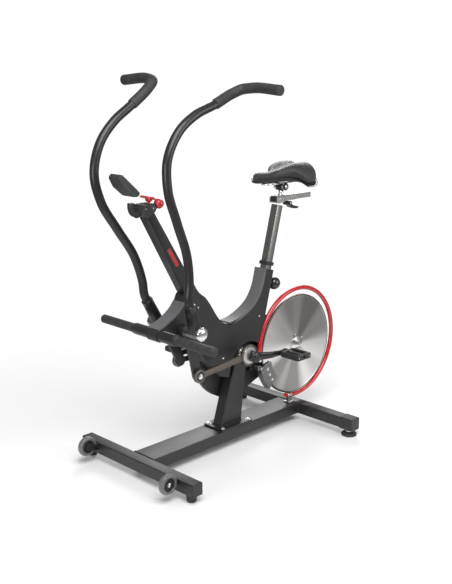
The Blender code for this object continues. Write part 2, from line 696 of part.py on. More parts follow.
def build_nose(root):
    outline = nose_outline()
    nose = piece("nose_bracket", prism(outline, -NOSE_HALF_WIDTH, NOSE_HALF_WIDTH), root,
                 "black_paint")
    inner = NOSE_HALF_WIDTH - NOSE_WALL
    hollow = [(0.2036, 0.6950), (0.192, 0.670), (0.172, 0.6475), (0.143, 0.625), (0.110, 0.607),
              (0.112, 0.520), (0.168, 0.505), (0.230, 0.480), (0.2420, 0.586)]
    cut(nose, root, prism(hollow, -inner, inner),
        rod((-1, BAR_Y, BAR_Z), (1, BAR_Y, BAR_Z), BAR_RADIUS + GAP, sides=16),
        rod((-1, PIVOT_Y, PIVOT_Z), (1, PIVOT_Y, PIVOT_Z), PIVOT_RADIUS + 0.008 + GAP, sides=16))
    tube = HUB_INNER_X - 0.001
    housing = [(-tube, PIVOT_RADIUS + GAP), (-tube, PIVOT_RADIUS + 0.008),
               (tube, PIVOT_RADIUS + 0.008), (tube, PIVOT_RADIUS + GAP)]
    piece("pivot_tube", turned(housing, PIVOT_Y, PIVOT_Z, 16, ring=True), root, "black_paint")
    x = HUB_OUTER_X + 0.0012
    half = [(x, PIVOT_RADIUS), (x, CAP_RADIUS), (x + 0.003, CAP_RADIUS)]
    half += [(x + 0.003 + CAP_DOME * sin(a), CAP_RADIUS * cos(a))
             for a in (radians(25), radians(48), radians(68))]
    half.append((x + 0.003 + CAP_DOME, 0.0))
    profile = [(-along, radius) for along, radius in reversed(half)] + half
    piece("pivot_shaft", turned(profile, PIVOT_Y, PIVOT_Z, 16), root, "chrome")


def build_foot_bar(root):
    half = BAR_MIDDLE / 2
    end = BAR_LENGTH / 2 - 0.004
    profile = [(-end, 0.0), (-end, BAR_END_RADIUS), (-half, BAR_END_RADIUS),
               (-half, BAR_RADIUS - 0.002), (-half + 0.002, BAR_RADIUS),
               (half - 0.002, BAR_RADIUS),
               (half, BAR_RADIUS - 0.002), (half, BAR_END_RADIUS), (end, BAR_END_RADIUS),
               (end, 0.0)]
    piece("foot_bar", turned(profile, BAR_Y, BAR_Z, 16), root, "black_paint")
    for side, name in sides_of("foot_grip"):
        start = side * (half + GAP)
        tip = side * BAR_LENGTH / 2
        inner = BAR_END_RADIUS + GAP
        wall = side * (end + GAP)
        sleeve = [(wall, 0.0), (wall, inner), (start, inner), (start, BAR_GRIP_RADIUS),
                  (tip - side * 0.002, BAR_GRIP_RADIUS), (tip, BAR_GRIP_RADIUS - 0.002),
                  (tip, 0.0)]
        piece(name, turned(sleeve, BAR_Y, BAR_Z, 16), root, "rubber")


# ---------------------------------------------------------------- arms, levers and rods

def turn_forward(point, side):
    """Move a point of the left arm's shape to its place on a side, at rest."""
    x, y, z = point
    if side > 0:
        return x, y, z
    dy = y - PIVOT_Y
    dz = z - PIVOT_Z
    return (-x, PIVOT_Y + dy * cos(ARM_SPREAD) - dz * sin(ARM_SPREAD),
            PIVOT_Z + dy * sin(ARM_SPREAD) + dz * cos(ARM_SPREAD))


def sleeve_point(along):
    return (ARM_X, PIVOT_Y - along * sin(SLEEVE_LEAN), PIVOT_Z + along * cos(SLEEVE_LEAN))


def arm_line(side):
    points = [sleeve_point(SLEEVE_HEIGHT - SOCKET_DEPTH + GAP), sleeve_point(SLEEVE_HEIGHT)]
    points += [(ARM_X, y, z) for y, z in ARM_SHAPE]
    return [turn_forward(point, side) for point in points + grip_run()]


def grip_run():
    y, z = GRIP_RISE
    return [(ARM_X, y - 0.048, z - 0.020), (ARM_X + 0.013, y - 0.013, z - 0.006),
            (ARM_X + 0.048, y, z - 0.001), (ARM_X + GRIP_OUT - 0.004, y, z - 0.007)]


def build_arm(body, side, prefix):
    line = arm_line(side)
    arm = piece(f"{prefix}_arm", swept(line, ARM_RADIUS, steps=2, sides=2, capped=False),
                body, "black_paint")
    last = Vector(line[-1])
    ahead = (last - Vector(line[-2])).normalized()
    before = Vector(line[0]) + (Vector(line[0]) - Vector(line[1])).normalized() * GAP * 2
    clear_line = [before] + line[1:-1] + [last + ahead * GAP * 2]
    wall = arm.modifiers.new("wall", "SOLIDIFY")
    wall.thickness = ARM_WALL
    wall.offset = -1.0
    wall.use_rim = True
    collar = Vector(turn_forward((ARM_X, *ARM_SHAPE[-1]), side))
    nodes = [collar] + [Vector(turn_forward(point, side)) for point in grip_run()]
    nodes[-1] = last + ahead * GRIP_END
    grip = piece(f"{prefix}_grip", swept(nodes, ARM_RADIUS + GRIP_WALL + GAP * 2, steps=2,
                                         sides=2), body, "rubber")
    room = swept(clear_line, ARM_RADIUS + GAP * 2, steps=2, sides=2)
    cut(grip, body, room.copy())
    return room


def build_lever(body, side, prefix, room):
    foot = turn_forward(sleeve_point(0.0), side)
    top = turn_forward(sleeve_point(SLEEVE_HEIGHT), side)
    lever = piece(f"{prefix}_lever", rod(foot, top, SLEEVE_FOOT_RADIUS, SLEEVE_TOP_RADIUS, 16),
                  body, "black_paint")
    hub = rod((side * HUB_INNER_X, PIVOT_Y, PIVOT_Z), (side * HUB_OUTER_X, PIVOT_Y, PIVOT_Z),
              HUB_SHELL_RADIUS, sides=16)
    plate = prism(capsule((PIVOT_Y, PIVOT_Z), lever_end(side), HUB_SHELL_RADIUS - 0.001,
                          LEVER_EYE_RADIUS),
                  *sorted((side * LEVER_INNER_X, side * (LEVER_INNER_X + LEVER_PLATE))))
    join(lever, body, hub, plate)
    cut(lever, body, room,
        rod((-1, PIVOT_Y, PIVOT_Z), (1, PIVOT_Y, PIVOT_Z), PIVOT_RADIUS + GAP, sides=16))


def build_rod(body, side, prefix):
    front = lever_end(side)
    rear = eccentric_centre(side)
    inner = side * ROD_INNER_X
    outer = side * ROD_OUTER_X
    heading = atan2(rear[1] - front[1], rear[0] - front[0])
    across = (-sin(heading) * ROD_DEPTH / 2, cos(heading) * ROD_DEPTH / 2)
    y, z = front[0] - 0.005 * cos(heading), front[1] - 0.005 * sin(heading)
    bar = [(y - across[0], z - across[1]), (rear[0] - across[0], rear[1] - across[1]),
           (rear[0] + across[0], rear[1] + across[1]), (y + across[0], z + across[1])]
    big = ECCENTRIC_RADIUS + BIG_END_WALL
    faces = sorted((inner + side * ROD_BAR_INSET, outer - side * ROD_BAR_INSET))
    link = piece(f"{prefix}_rod", prism(bar, *faces), body, "forged_steel")
    recess = outer - side * ROD_RECESS
    eye = [(inner, 0), (inner, ROD_EYE_RADIUS), (outer, ROD_EYE_RADIUS), (outer, ROD_EYE_BORE),
           (recess, ROD_EYE_BORE), (recess, BOLT_RADIUS), (outer + side * 0.004, BOLT_RADIUS),
           (outer + side * 0.005, BOLT_RADIUS * 0.8), (outer + side * 0.005, 0)]
    join(link, body, turned(eye, *front, 16),
         turned([(inner, 0), (inner, big), (outer, big), (outer, 0)], *rear, ECCENTRIC_SIDES))
    cut(link, body,
        turned([(-1, 0), (-1, ECCENTRIC_RADIUS + GAP), (1, ECCENTRIC_RADIUS + GAP), (1, 0)],
               *rear, ECCENTRIC_SIDES))


# ---------------------------------------------------------------- crank set and pedals

def build_crank_axle(body):
    end = CRANK_INNER_X + CRANK_WIDTH + 0.001
    axle = piece("crank_axle", rod((-end, CRANK_Y, CRANK_Z), (end, CRANK_Y, CRANK_Z), AXLE_RADIUS,
                                   sides=16), body, "satin_silver")
    for side in (1, -1):
        inner = side * (ROD_INNER_X + 0.0005)
        outer = side * (ROD_OUTER_X - 0.0005)
        y, z = eccentric_centre(side)
        join(axle, body, turned([(inner, 0), (inner, ECCENTRIC_RADIUS), (outer, ECCENTRIC_RADIUS),
                                 (outer, 0)], y, z, ECCENTRIC_SIDES))


def build_crank(body, side, prefix):
    """A crank arm that steps outwards from its boss to its pedal eye."""
    inner = side * CRANK_INNER_X
    outer = side * (CRANK_INNER_X + CRANK_WIDTH)
    eye_inner = inner + side * CRANK_BOW
    eye_outer = outer + side * CRANK_BOW
    y, z = pedal_centre(side)
    crank = piece(f"{prefix}_crank", turned([(inner, 0), (inner, CRANK_BOSS_RADIUS),
                                             (outer, CRANK_BOSS_RADIUS), (outer, 0)],
                                            CRANK_Y, CRANK_Z, 16), body, "black_paint")
    working = bmesh.new()
    rings = []
    for share, radius, shift in ((0.0, 0.018, 0.0), (0.22, 0.0165, 0.15), (0.42, 0.015, 0.8),
                                 (0.6, 0.0135, 1.0), (1.0, 0.0125, 1.0)):
        cy = CRANK_Y + (y - CRANK_Y) * share
        cz = CRANK_Z + (z - CRANK_Z) * share
        heading = atan2(z - CRANK_Z, y - CRANK_Y)
        ny = -sin(heading) * radius
        nz = cos(heading) * radius
        x0 = inner + side * (0.002 + CRANK_BOW * shift)
        x1 = outer + side * (CRANK_BOW * shift - 0.002)
        rings.append([working.verts.new((x0, cy - ny, cz - nz)),
                      working.verts.new((x1, cy - ny, cz - nz)),
                      working.verts.new((x1, cy + ny, cz + nz)),
                      working.verts.new((x0, cy + ny, cz + nz))])
    for first, second in zip(rings, rings[1:]):
        for i in range(4):
            working.faces.new((first[i], first[(i + 1) % 4], second[(i + 1) % 4], second[i]))
    working.faces.new(rings[0])
    working.faces.new(rings[-1])
    eye = turned([(eye_inner, 0), (eye_inner, CRANK_TIP_RADIUS), (eye_outer, CRANK_TIP_RADIUS),
                  (eye_outer, 0)], y, z, 12)
    tip = side * (PEDAL_INNER_X + PEDAL_LENGTH - PEDAL_END - 0.002)
    spindle = rod((eye_inner, y, z), (tip, y, z), PEDAL_SPINDLE_RADIUS, sides=16)
    join(crank, body, finish_mesh(working, "web"), eye, spindle)
    cut(crank, body,
        turned([(-1, 0), (-1, AXLE_RADIUS + GAP), (1, AXLE_RADIUS + GAP), (1, 0)],
               CRANK_Y, CRANK_Z, 16))


def build_pedal(body, side, prefix):
    y, z = pedal_centre(side)
    inner = side * PEDAL_INNER_X
    outer = side * (PEDAL_INNER_X + PEDAL_LENGTH)
    x0, x1 = sorted((inner, outer))
    half = PEDAL_WIDTH / 2
    high = PEDAL_HEIGHT / 2
    flat = half - PEDAL_EDGE
    outline = [(y - flat, z - high), (y + flat, z - high), (y + half, z),
               (y + flat, z + high), (y - flat, z + high), (y - half, z)]
    pedal = piece(f"{prefix}_pedal", prism(outline, x0, x1), body, "black_plastic")
    near, far = PEDAL_HUB / 2, half - PEDAL_RAIL
    windows = [box(x0 + PEDAL_CHEEK, x1 - PEDAL_CHEEK, low, high_y, z - 1, z + 1)
               for low, high_y in ((y + near, y + far), (y - far, y - near))]
    bore = rod((inner - side * 0.01, y, z), (outer - side * PEDAL_END, y, z),
               PEDAL_SPINDLE_RADIUS + GAP, sides=16)
    cut(pedal, body, *windows, bore)


# ---------------------------------------------------------------- flywheel, belt and guards

def build_flywheel(body):
    back = FLYWHEEL_FACE_X - FLYWHEEL_THICKNESS
    bore = SHAFT_RADIUS + GAP
    rim = FLYWHEEL_RADIUS
    disc = [(back, bore), (back, rim - 0.001), (back + 0.001, rim), (FLYWHEEL_FACE_X - 0.002, rim),
            (FLYWHEEL_FACE_X, rim - 0.002), (FLYWHEEL_FACE_X, bore)]
    piece("flywheel", turned(disc, FLYWHEEL_Y, FLYWHEEL_Z, 48, ring=True), body,
          "spun_aluminium")
    start = FLYWHEEL_FACE_X + GAP
    edge = BELT_X - BELT_WIDTH / 2
    lip = DRIVEN_RADIUS + 0.004
    shaft = [(edge - 0.004, 0.0), (edge - 0.004, lip), (edge - 0.001, lip),
             (edge - 0.001, DRIVEN_RADIUS), (edge + BELT_WIDTH + 0.001, DRIVEN_RADIUS),
             (edge + BELT_WIDTH + 0.001, SHAFT_RADIUS), (start, SHAFT_RADIUS),
             (start, CONE_RADIUS), (start + 0.003, CONE_RADIUS),
             (start + CONE_LENGTH * 0.35, CONE_RADIUS * 0.60),
             (start + CONE_LENGTH * 0.85, CONE_RADIUS * 0.22), (start + CONE_LENGTH, 0.0)]
    piece("flywheel_shaft", turned(shaft, FLYWHEEL_Y, FLYWHEEL_Z, 16), body, "chrome")


def build_drive_pulley(body):
    low = BELT_X - BELT_WIDTH / 2 - 0.001
    high = BELT_X + BELT_WIDTH / 2 + 0.001
    bore = AXLE_RADIUS + GAP
    rim = DRIVE_RADIUS
    profile = [(low, bore), (low, 0.026), (BELT_X - 0.002, 0.026), (BELT_X - 0.002, rim - 0.008),
               (low, rim - 0.008), (low, rim), (high, rim), (high, rim - 0.008),
               (BELT_X + 0.002, rim - 0.008), (BELT_X + 0.002, 0.026), (high, 0.026), (high, bore)]
    piece("drive_pulley", turned(profile, CRANK_Y, CRANK_Z, 24, ring=True), body, "satin_silver")


def build_belt(root):
    x0 = BELT_X - BELT_WIDTH / 2
    x1 = BELT_X + BELT_WIDTH / 2
    outer = capsule((CRANK_Y, CRANK_Z), (FLYWHEEL_Y, FLYWHEEL_Z),
                    DRIVE_RADIUS + BELT_THICKNESS + 0.0012,
                    DRIVEN_RADIUS + BELT_THICKNESS + 0.0012,
                    24)
    inner = capsule((CRANK_Y, CRANK_Z), (FLYWHEEL_Y, FLYWHEEL_Z), DRIVE_RADIUS + 0.0012,
                    DRIVEN_RADIUS + 0.0012, 24)
    belt = piece("drive_belt", prism(outer, x0, x1), root, "rubber")
    cut(belt, root, prism(inner, x0 - 0.01, x1 + 0.01))


def below(outline, level):
    """The part of a convex outline under a level."""
    kept = []
    for (y0, z0), (y1, z1) in zip(outline, outline[1:] + outline[:1]):
        if z0 <= level:
            kept.append((y0, z0))
        if (z0 - level) * (z1 - level) < 0:
            share = (level - z0) / (z1 - z0)
            kept.append((y0 + (y1 - y0) * share, level))
    return kept


def guard_outline(shrink):
    whole = capsule((CRANK_Y, CRANK_Z), (FLYWHEEL_Y, FLYWHEEL_Z), GUARD_RADIUS - shrink,
                    GUARD_TAIL_RADIUS - shrink, 22)
    return below(whole, GUARD_TOP_Z - shrink)


def build_belt_guard(root):
    plate_back = GUARD_INNER_X - GUARD_WALL
    inner = piece("belt_guard_inner", prism(guard_outline(0), plate_back, GUARD_INNER_X), root,
                  "black_plastic")
    openings = [rod((-1, CRANK_Y, CRANK_Z), (1, CRANK_Y, CRANK_Z), AXLE_RADIUS + 0.004, sides=20),
                rod((-1, FLYWHEEL_Y, FLYWHEEL_Z), (1, FLYWHEEL_Y, FLYWHEEL_Z),
                    SHAFT_RADIUS + 0.004, sides=20)]
    cut(inner, root, *openings)
    outer = piece("belt_guard", prism(guard_outline(0), GUARD_OUTER_X, plate_back - GAP), root,
                  "black_plastic")
    cut(outer, root,
        prism(guard_outline(GUARD_WALL), GUARD_OUTER_X + GUARD_WALL, 1),
        rod((-1, CRANK_Y, CRANK_Z), (1, CRANK_Y, CRANK_Z), AXLE_RADIUS + 0.004, sides=20))


def build_wheel_stay(root):
    """The arm that carries the flywheel's bearing, bolted to the back of the post."""
    x0 = -0.022
    x1 = 0.004
    boss = SHAFT_RADIUS + 0.018
    outline = capsule((FLYWHEEL_Y, FLYWHEEL_Z), (0.610, 0.336), boss, 0.028, 10)
    stay = piece("flywheel_stay", prism(outline, x0, x1), root, "black_paint")
    join(stay, root, box(x0, x1, 0.5630, 0.620, 0.308, 0.364))
    front = Vector(ring_point(RING_START))
    tail = front.z - RING_TUBE_RADIUS
    join(stay, root,
         box(x0, RING_X + 0.006, front.y - 0.018, front.y + 0.010, tail - 0.022, tail - GAP),
         box(x0 + 0.002, x1 - 0.002, 0.605, front.y + 0.009, tail - 0.030, tail - 0.002))
    y, z = BRAKE_PIVOT_Y, BRAKE_PIVOT_Z
    join(stay, root, box(x0 + 0.001, x1 - 0.001, y - 0.030, y + 0.012, z - 0.012, z + 0.040),
         rod((x1 - 0.002, y, z), (FLYWHEEL_FACE_X + 0.020, y, z), BRAKE_BOLT_RADIUS, sides=12))
    cut(stay, root, rod((-1, FLYWHEEL_Y, FLYWHEEL_Z), (1, FLYWHEEL_Y, FLYWHEEL_Z),
                        SHAFT_RADIUS + GAP, sides=20))


def ring_point(angle, x=RING_X):
    return (x, RING_Y + RING_RADIUS * cos(angle), RING_Z + RING_RADIUS * sin(angle))


def build_ring_guard(root):
    piece("ring_guard", bent_bar(RING_X, (RING_Y, RING_Z), RING_RADIUS, RING_TUBE_RADIUS,
                                 RING_START, RING_END, 40, 8), root, "red_paint")
    tangent = RING_CLAMP_ANGLE - pi / 2
    centre = Vector(ring_point(RING_CLAMP_ANGLE))
    along = Vector((0, cos(tangent), sin(tangent)))
    clamp = piece("ring_clamp", rod(centre - along * 0.010, centre + along * 0.010,
                                    RING_TUBE_RADIUS + RING_CLAMP_WALL, sides=20), root,
                  "satin_silver")
    join(clamp, root,
         box(RING_X - 0.009, RING_X + 0.009, centre.y - 0.009, centre.y + 0.009,
             TUBE_TOP_Z + GAP, centre.z - 0.003),
         box(RING_X - 0.018, RING_X + 0.018, centre.y - 0.014, centre.y + 0.014,
             TUBE_TOP_Z + GAP, TUBE_TOP_Z + 0.006))
    cut(clamp, root, rod(centre - along * 0.05, centre + along * 0.05, RING_TUBE_RADIUS + 0.0008,
                         sides=20),
        rod((-1, FLYWHEEL_Y, FLYWHEEL_Z), (1, FLYWHEEL_Y, FLYWHEEL_Z),
            FLYWHEEL_RADIUS + RIM_CLEARANCE, sides=96))


def build_brake(body):
    """A fork that straddles the flywheel's front edge and holds its magnets."""
    y = BRAKE_PIVOT_Y
    z = BRAKE_PIVOT_Z
    clear = 0.0035
    inner = FLYWHEEL_FACE_X - FLYWHEEL_THICKNESS - clear
    outer = FLYWHEEL_FACE_X + clear
    plate = 0.005
    first = radians(193)
    last = radians(222)
    outline = (arc(FLYWHEEL_Y, FLYWHEEL_Z, BRAKE_OUTER_RADIUS, first, last, 5)
               + arc(FLYWHEEL_Y, FLYWHEEL_Z, BRAKE_INNER_RADIUS, last, first, 4))
    fork = piece("brake_fork", prism(outline, inner - plate, outer + plate), body,
                 "black_paint")
    join(fork, body, rod((inner - plate, y, z), (outer + plate, y, z), 0.012, sides=16))
    rim = FLYWHEEL_RADIUS + BRAKE_CLEARANCE
    cut(fork, body,
        turned([(inner, 0), (inner, rim), (outer, rim), (outer, 0)], FLYWHEEL_Y, FLYWHEEL_Z, 48),
        rod((-1, y, z), (1, y, z), BRAKE_BOLT_RADIUS + GAP, sides=12))


# ---------------------------------------------------------------- saddle and post

def build_seat_post(body):
    post = piece("seat_post", seat_box(POST_WIDTH / 2, POST_DEPTH / 2, -POST_BELOW, POST_ABOVE),
                 body, "satin_silver")
    lowest = POP_PIN_ALONG - HOLE_SPACING
    holes = [rod(seat_point(lowest + HOLE_SPACING * i, -0.1),
                 seat_point(lowest + HOLE_SPACING * i, 0.1), HOLE_RADIUS, sides=6)
             for i in range(HOLE_COUNT)]
    bore = seat_box(POST_WIDTH / 2 - POST_WALL, POST_DEPTH / 2 - POST_WALL, -1, POST_ABOVE - 0.004)
    cut(post, body, bore, *holes)


def build_seat_head(body):
    """The open channel on top of the post that the saddle's rail slides in."""
    top = seat_point(POST_ABOVE)
    half = RAIL_WIDTH / 2
    y0 = top.y - POST_DEPTH / 2 - 0.008
    floor = RAIL_Z + HEAD_WALL
    outline = [(y0, RAIL_Z), (y0 + HEAD_LENGTH, RAIL_Z + 0.010), (y0 + HEAD_LENGTH, floor + 0.020),
               (y0, floor + 0.020)]
    head = piece("seat_head", prism(outline, -half - HEAD_WALL, half + HEAD_WALL), body,
                 "satin_silver")
    cut(head, body, box(-half - GAP, half + GAP, 0, 2, floor, 2),
        seat_box(POST_WIDTH / 2 + GAP, POST_DEPTH / 2 + GAP, -0.1, POST_ABOVE + GAP))
    return y0, floor


def build_rail(body, y0, floor):
    half = RAIL_WIDTH / 2
    low = floor + GAP
    rail = piece("seat_rail", box(-half, half, y0 + 0.004, y0 + 0.004 + RAIL_LENGTH, low,
                                  low + RAIL_HEIGHT, bevel=0.001), body, "satin_silver")
    stub = [(low + 0.01, 0), (low + 0.01, STUB_RADIUS), (STUB_TOP_Z, STUB_RADIUS),
            (STUB_TOP_Z, 0)]
    join(rail, body, upright(stub, 0, STUB_Y, 20))
    barrel = rod((-CLAMP_HALF_WIDTH, STUB_Y, CLAMP_Z), (CLAMP_HALF_WIDTH, STUB_Y, CLAMP_Z),
                 CLAMP_RADIUS, sides=20)
    clamp = piece("saddle_clamp", barrel, body, "black_plastic")
    join(clamp, body, box(-0.015, 0.015, STUB_Y - 0.016, STUB_Y + 0.016, STUB_TOP_Z + GAP,
                          CLAMP_Z - 0.003))
    nose = [(0.0, SADDLE_NOSE_Y + 0.068, WIRE_Z + 0.001), (0.014, SADDLE_NOSE_Y + 0.078, WIRE_Z),
            (0.021, SADDLE_NOSE_Y + 0.120, WIRE_Z), (0.022, STUB_Y + 0.045, WIRE_Z),
            (0.034, STUB_Y + 0.100, WIRE_Z + 0.001)]
    wires = [(-x, y, z) for x, y, z in reversed(nose[1:])] + nose
    join(clamp, body, swept(wires, WIRE_RADIUS, steps=4, sides=1))


def saddle_section(t):
    """Half width, top and share of the wings at a share t of the length from the nose."""
    grow = min(1.0, max(0.0, (t - 0.30) / 0.42))
    wings = grow * grow * (3 - 2 * grow)
    tail = 1.0 - max(0.0, (t - 0.80) / 0.20) ** 2.6 * 0.30
    nose = min(1.0, t / 0.09) ** 0.5 if t > 0 else 0.0
    half = SADDLE_NOSE_HALF_WIDTH + (SADDLE_HALF_WIDTH - SADDLE_NOSE_HALF_WIDTH) * wings
    top = SADDLE_TOP_Z - 0.0084 * sin(pi * min(1.0, t / 0.62)) ** 2 + SADDLE_RISE * wings
    if t < 0.12:
        top -= 0.020 * (1 - t / 0.12) ** 2
    if t > 0.88:
        top -= 0.030 * ((t - 0.88) / 0.12) ** 2
    return half * tail * max(0.45, nose), top, wings


def saddle_ring(t, sides):
    """Points of one cross section: a rounded oblong with hanging wings and a channel."""
    half, top, wings = saddle_section(t)
    middle = (top + SADDLE_BOTTOM_Z) / 2
    height = (top - SADDLE_BOTTOM_Z) / 2
    ring = []
    for j in range(sides):
        a = 2 * pi * j / sides
        x = half * abs(cos(a)) ** 0.75 * (1 if cos(a) >= 0 else -1)
        z = middle + height * abs(sin(a)) ** 0.75 * (1 if sin(a) >= 0 else -1)
        z -= SADDLE_DROOP * wings * (x / SADDLE_HALF_WIDTH) ** 4
        if sin(a) > 0:
            z -= SADDLE_GROOVE * wings * max(0.0, 1 - abs(x) / 0.040)
        ring.append((x, SADDLE_NOSE_Y + SADDLE_LENGTH * t, z))
    return ring


def build_saddle(body):
    working = bmesh.new()
    count = 11
    sides = 16
    rings = [[working.verts.new(point) for point in saddle_ring(i / count, sides)]
             for i in range(count + 1)]
    for first, second in zip(rings, rings[1:]):
        for j in range(sides):
            k = (j + 1) % sides
            working.faces.new((first[j], first[k], second[k], second[j]))
    working.faces.new(rings[0])
    working.faces.new(rings[-1])
    piece("saddle", finish_mesh(working, "saddle"), body, "vinyl", 50)


def build_collar(root):
    collar = piece("seat_tube_collar", seat_box(POST_WIDTH / 2 + COLLAR_WALL,
                                                POST_DEPTH / 2 + COLLAR_WALL, 0.014,
                                                0.014 + COLLAR_HEIGHT), root, "grey_plastic")
    cut(collar, root, seat_box(POST_WIDTH / 2 + GAP, POST_DEPTH / 2 + GAP, -0.1, 0.1))


def build_pop_pin(body):
    """Height pin with its ball knob, parked with its tip just clear of the post."""
    shift = Matrix.Translation(seat_point(POP_PIN_ALONG))
    frame = Matrix(((0, 1, 0, 0), (SEAT_BACK.y, 0, SEAT_AXIS.y, 0),
                    (SEAT_BACK.z, 0, SEAT_AXIS.z, 0), (0, 0, 0, 1)))
    tip = POST_DEPTH / 2 + GAP * 2
    neck = PIN_BOSS_FACE + PIN_TRAVEL + GAP * 2
    profile = [(tip, 0.0), (tip, PIN_TIP_RADIUS), (tip + PIN_TRAVEL - GAP * 2, PIN_TIP_RADIUS),
               (tip + PIN_TRAVEL, PIN_RADIUS), (neck, PIN_RADIUS), (neck, 0.010),
               (KNOB_REACH - KNOB_RADIUS * 0.95, 0.010)]
    profile += [(KNOB_REACH - KNOB_RADIUS * cos(a), KNOB_RADIUS * sin(a))
                for a in [radians(d) for d in (28, 50, 70, 90, 110, 130, 150)]]
    profile.append((KNOB_REACH + KNOB_RADIUS, 0.0))
    knob = turned(profile, 0, 0, 14)
    knob.transform(shift @ frame)
    knob.flip_normals()
    piece("pop_pin", knob, body, "black_plastic")


def build_rail_lock(body, y):
    """The lever under the channel that locks the rail."""
    barrel = rod((-0.020, y, LOCK_Z), (0.020, y, LOCK_Z), 0.010, sides=20)
    lever = piece("rail_lock_lever", barrel, body, "black_plastic")
    handle = [(y - 0.006, LOCK_Z - 0.006), (y + 0.010, LOCK_Z - 0.020),
              (y + 0.062, LOCK_Z - 0.028), (y + 0.064, LOCK_Z - 0.020), (y + 0.008, LOCK_Z)]
    join(lever, body, prism(handle, -0.011, 0.011))


# ---------------------------------------------------------------- console and resistance lever

def build_mast_head(root):
    outline = [(0.0590, 1.0500), (0.0220, 1.0285), (-0.0060, 1.0380), (0.0080, 1.0780),
               (0.0180, 1.0800), (0.0560, 1.0790), (0.0660, 1.0620)]
    shell = prism(outline, -MAST_HEAD_HALF_WIDTH, MAST_HEAD_HALF_WIDTH, bevel=0.002)
    head = piece("mast_head", shell, root, "black_plastic")
    cut(head, root, box(-STALK_WIDTH / 2 - SLOT_GAP, STALK_WIDTH / 2 + SLOT_GAP,
                        SHIFT_Y - 0.0155, SHIFT_Y + 0.0175, SHIFT_Z - 0.008, 1.2),
        rod((0, -0.03, NECK_Z), (0, 0.0125, NECK_Z), NECK_RADIUS + GAP * 2, sides=16))


def console_point(along, deep, x=0.0):
    """A place on the console: along its screen from the hinge side, and below its face."""
    return (x, CONSOLE_HINGE_Y + along * cos(CONSOLE_TILT) - deep * sin(CONSOLE_TILT),
            CONSOLE_HINGE_Z - along * sin(CONSOLE_TILT) - deep * cos(CONSOLE_TILT))


def build_console(body, root):
    neck = [(0.0, 0.0115, NECK_Z), (0.0, -0.0100, NECK_Z), (0.0, -0.0265, NECK_Z + 0.007),
            (0.0, -0.034, NECK_Z + 0.024), (0.0, -0.034, NECK_Z + 0.0425)]
    piece("console_neck", swept(neck, NECK_RADIUS, steps=4, sides=2), root, "black_plastic")
    front, back, face = CONSOLE_FRONT, CONSOLE_BACK, CONSOLE_FACE
    outline = [console_point(along, deep)[1:] for along, deep in
               ((front, face), (back, face), (back, face + 0.018), (back - 0.018, face + 0.032),
                (front + 0.038, face + 0.034), (front, face + 0.020))]
    outline.reverse()
    shell = piece("console", prism(outline, -CONSOLE_HALF_WIDTH, CONSOLE_HALF_WIDTH, bevel=0.002),
                  body, "black_plastic")
    screen = [console_point(along, deep)[1:] for along, deep in
              ((front + 0.014, face - 0.0015), (back - 0.022, face - 0.0015),
               (back - 0.022, face + 0.0025), (front + 0.014, face + 0.0025))]
    screen.reverse()
    wide = CONSOLE_HALF_WIDTH - 0.008
    cut(shell, body, prism(inset(screen, -GAP), -wide - GAP, wide + GAP))
    piece("console_screen", prism(screen, -wide, wide), body, "screen")


def build_shift_lever(body):
    """Red lever: a stalk from its pivot, a ball at the left and a thumb blade at the right."""
    rise = SHIFT_ROD_Z - SHIFT_Z
    y = SHIFT_Y + 0.007
    lever = piece("shift_lever", rod((-0.011, y, SHIFT_ROD_Z), (0.011, y, SHIFT_ROD_Z), 0.010),
                  body, "red_plastic")
    ball = SHIFT_BALL_RADIUS
    knob = turned([(0.0, 0.0)] + [(ball - ball * cos(radians(a)), ball * sin(radians(a)))
                                  for a in (30, 60, 90, 120, 150)]
                  + [(ball * 2, 0.0)], y + 0.032, SHIFT_ROD_Z - 0.018, 14)
    blade = [(y - 0.004, SHIFT_ROD_Z + 0.003), (y + 0.020, SHIFT_ROD_Z - 0.005),
             (y + 0.024, SHIFT_ROD_Z + 0.001), (y + 0.008, SHIFT_ROD_Z + 0.010),
             (y - 0.002, SHIFT_ROD_Z + 0.0095)]
    stalk = prism([(SHIFT_Y - 0.0055, SHIFT_Z - 0.0045), (SHIFT_Y + 0.0055, SHIFT_Z - 0.0045),
                   (y + 0.0065, SHIFT_Z + rise), (y - 0.0065, SHIFT_Z + rise)],
                  -STALK_WIDTH / 2, STALK_WIDTH / 2)
    join(lever, body, knob, prism(blade, -0.050, 0.016), stalk)


# ---------------------------------------------------------------- assembly

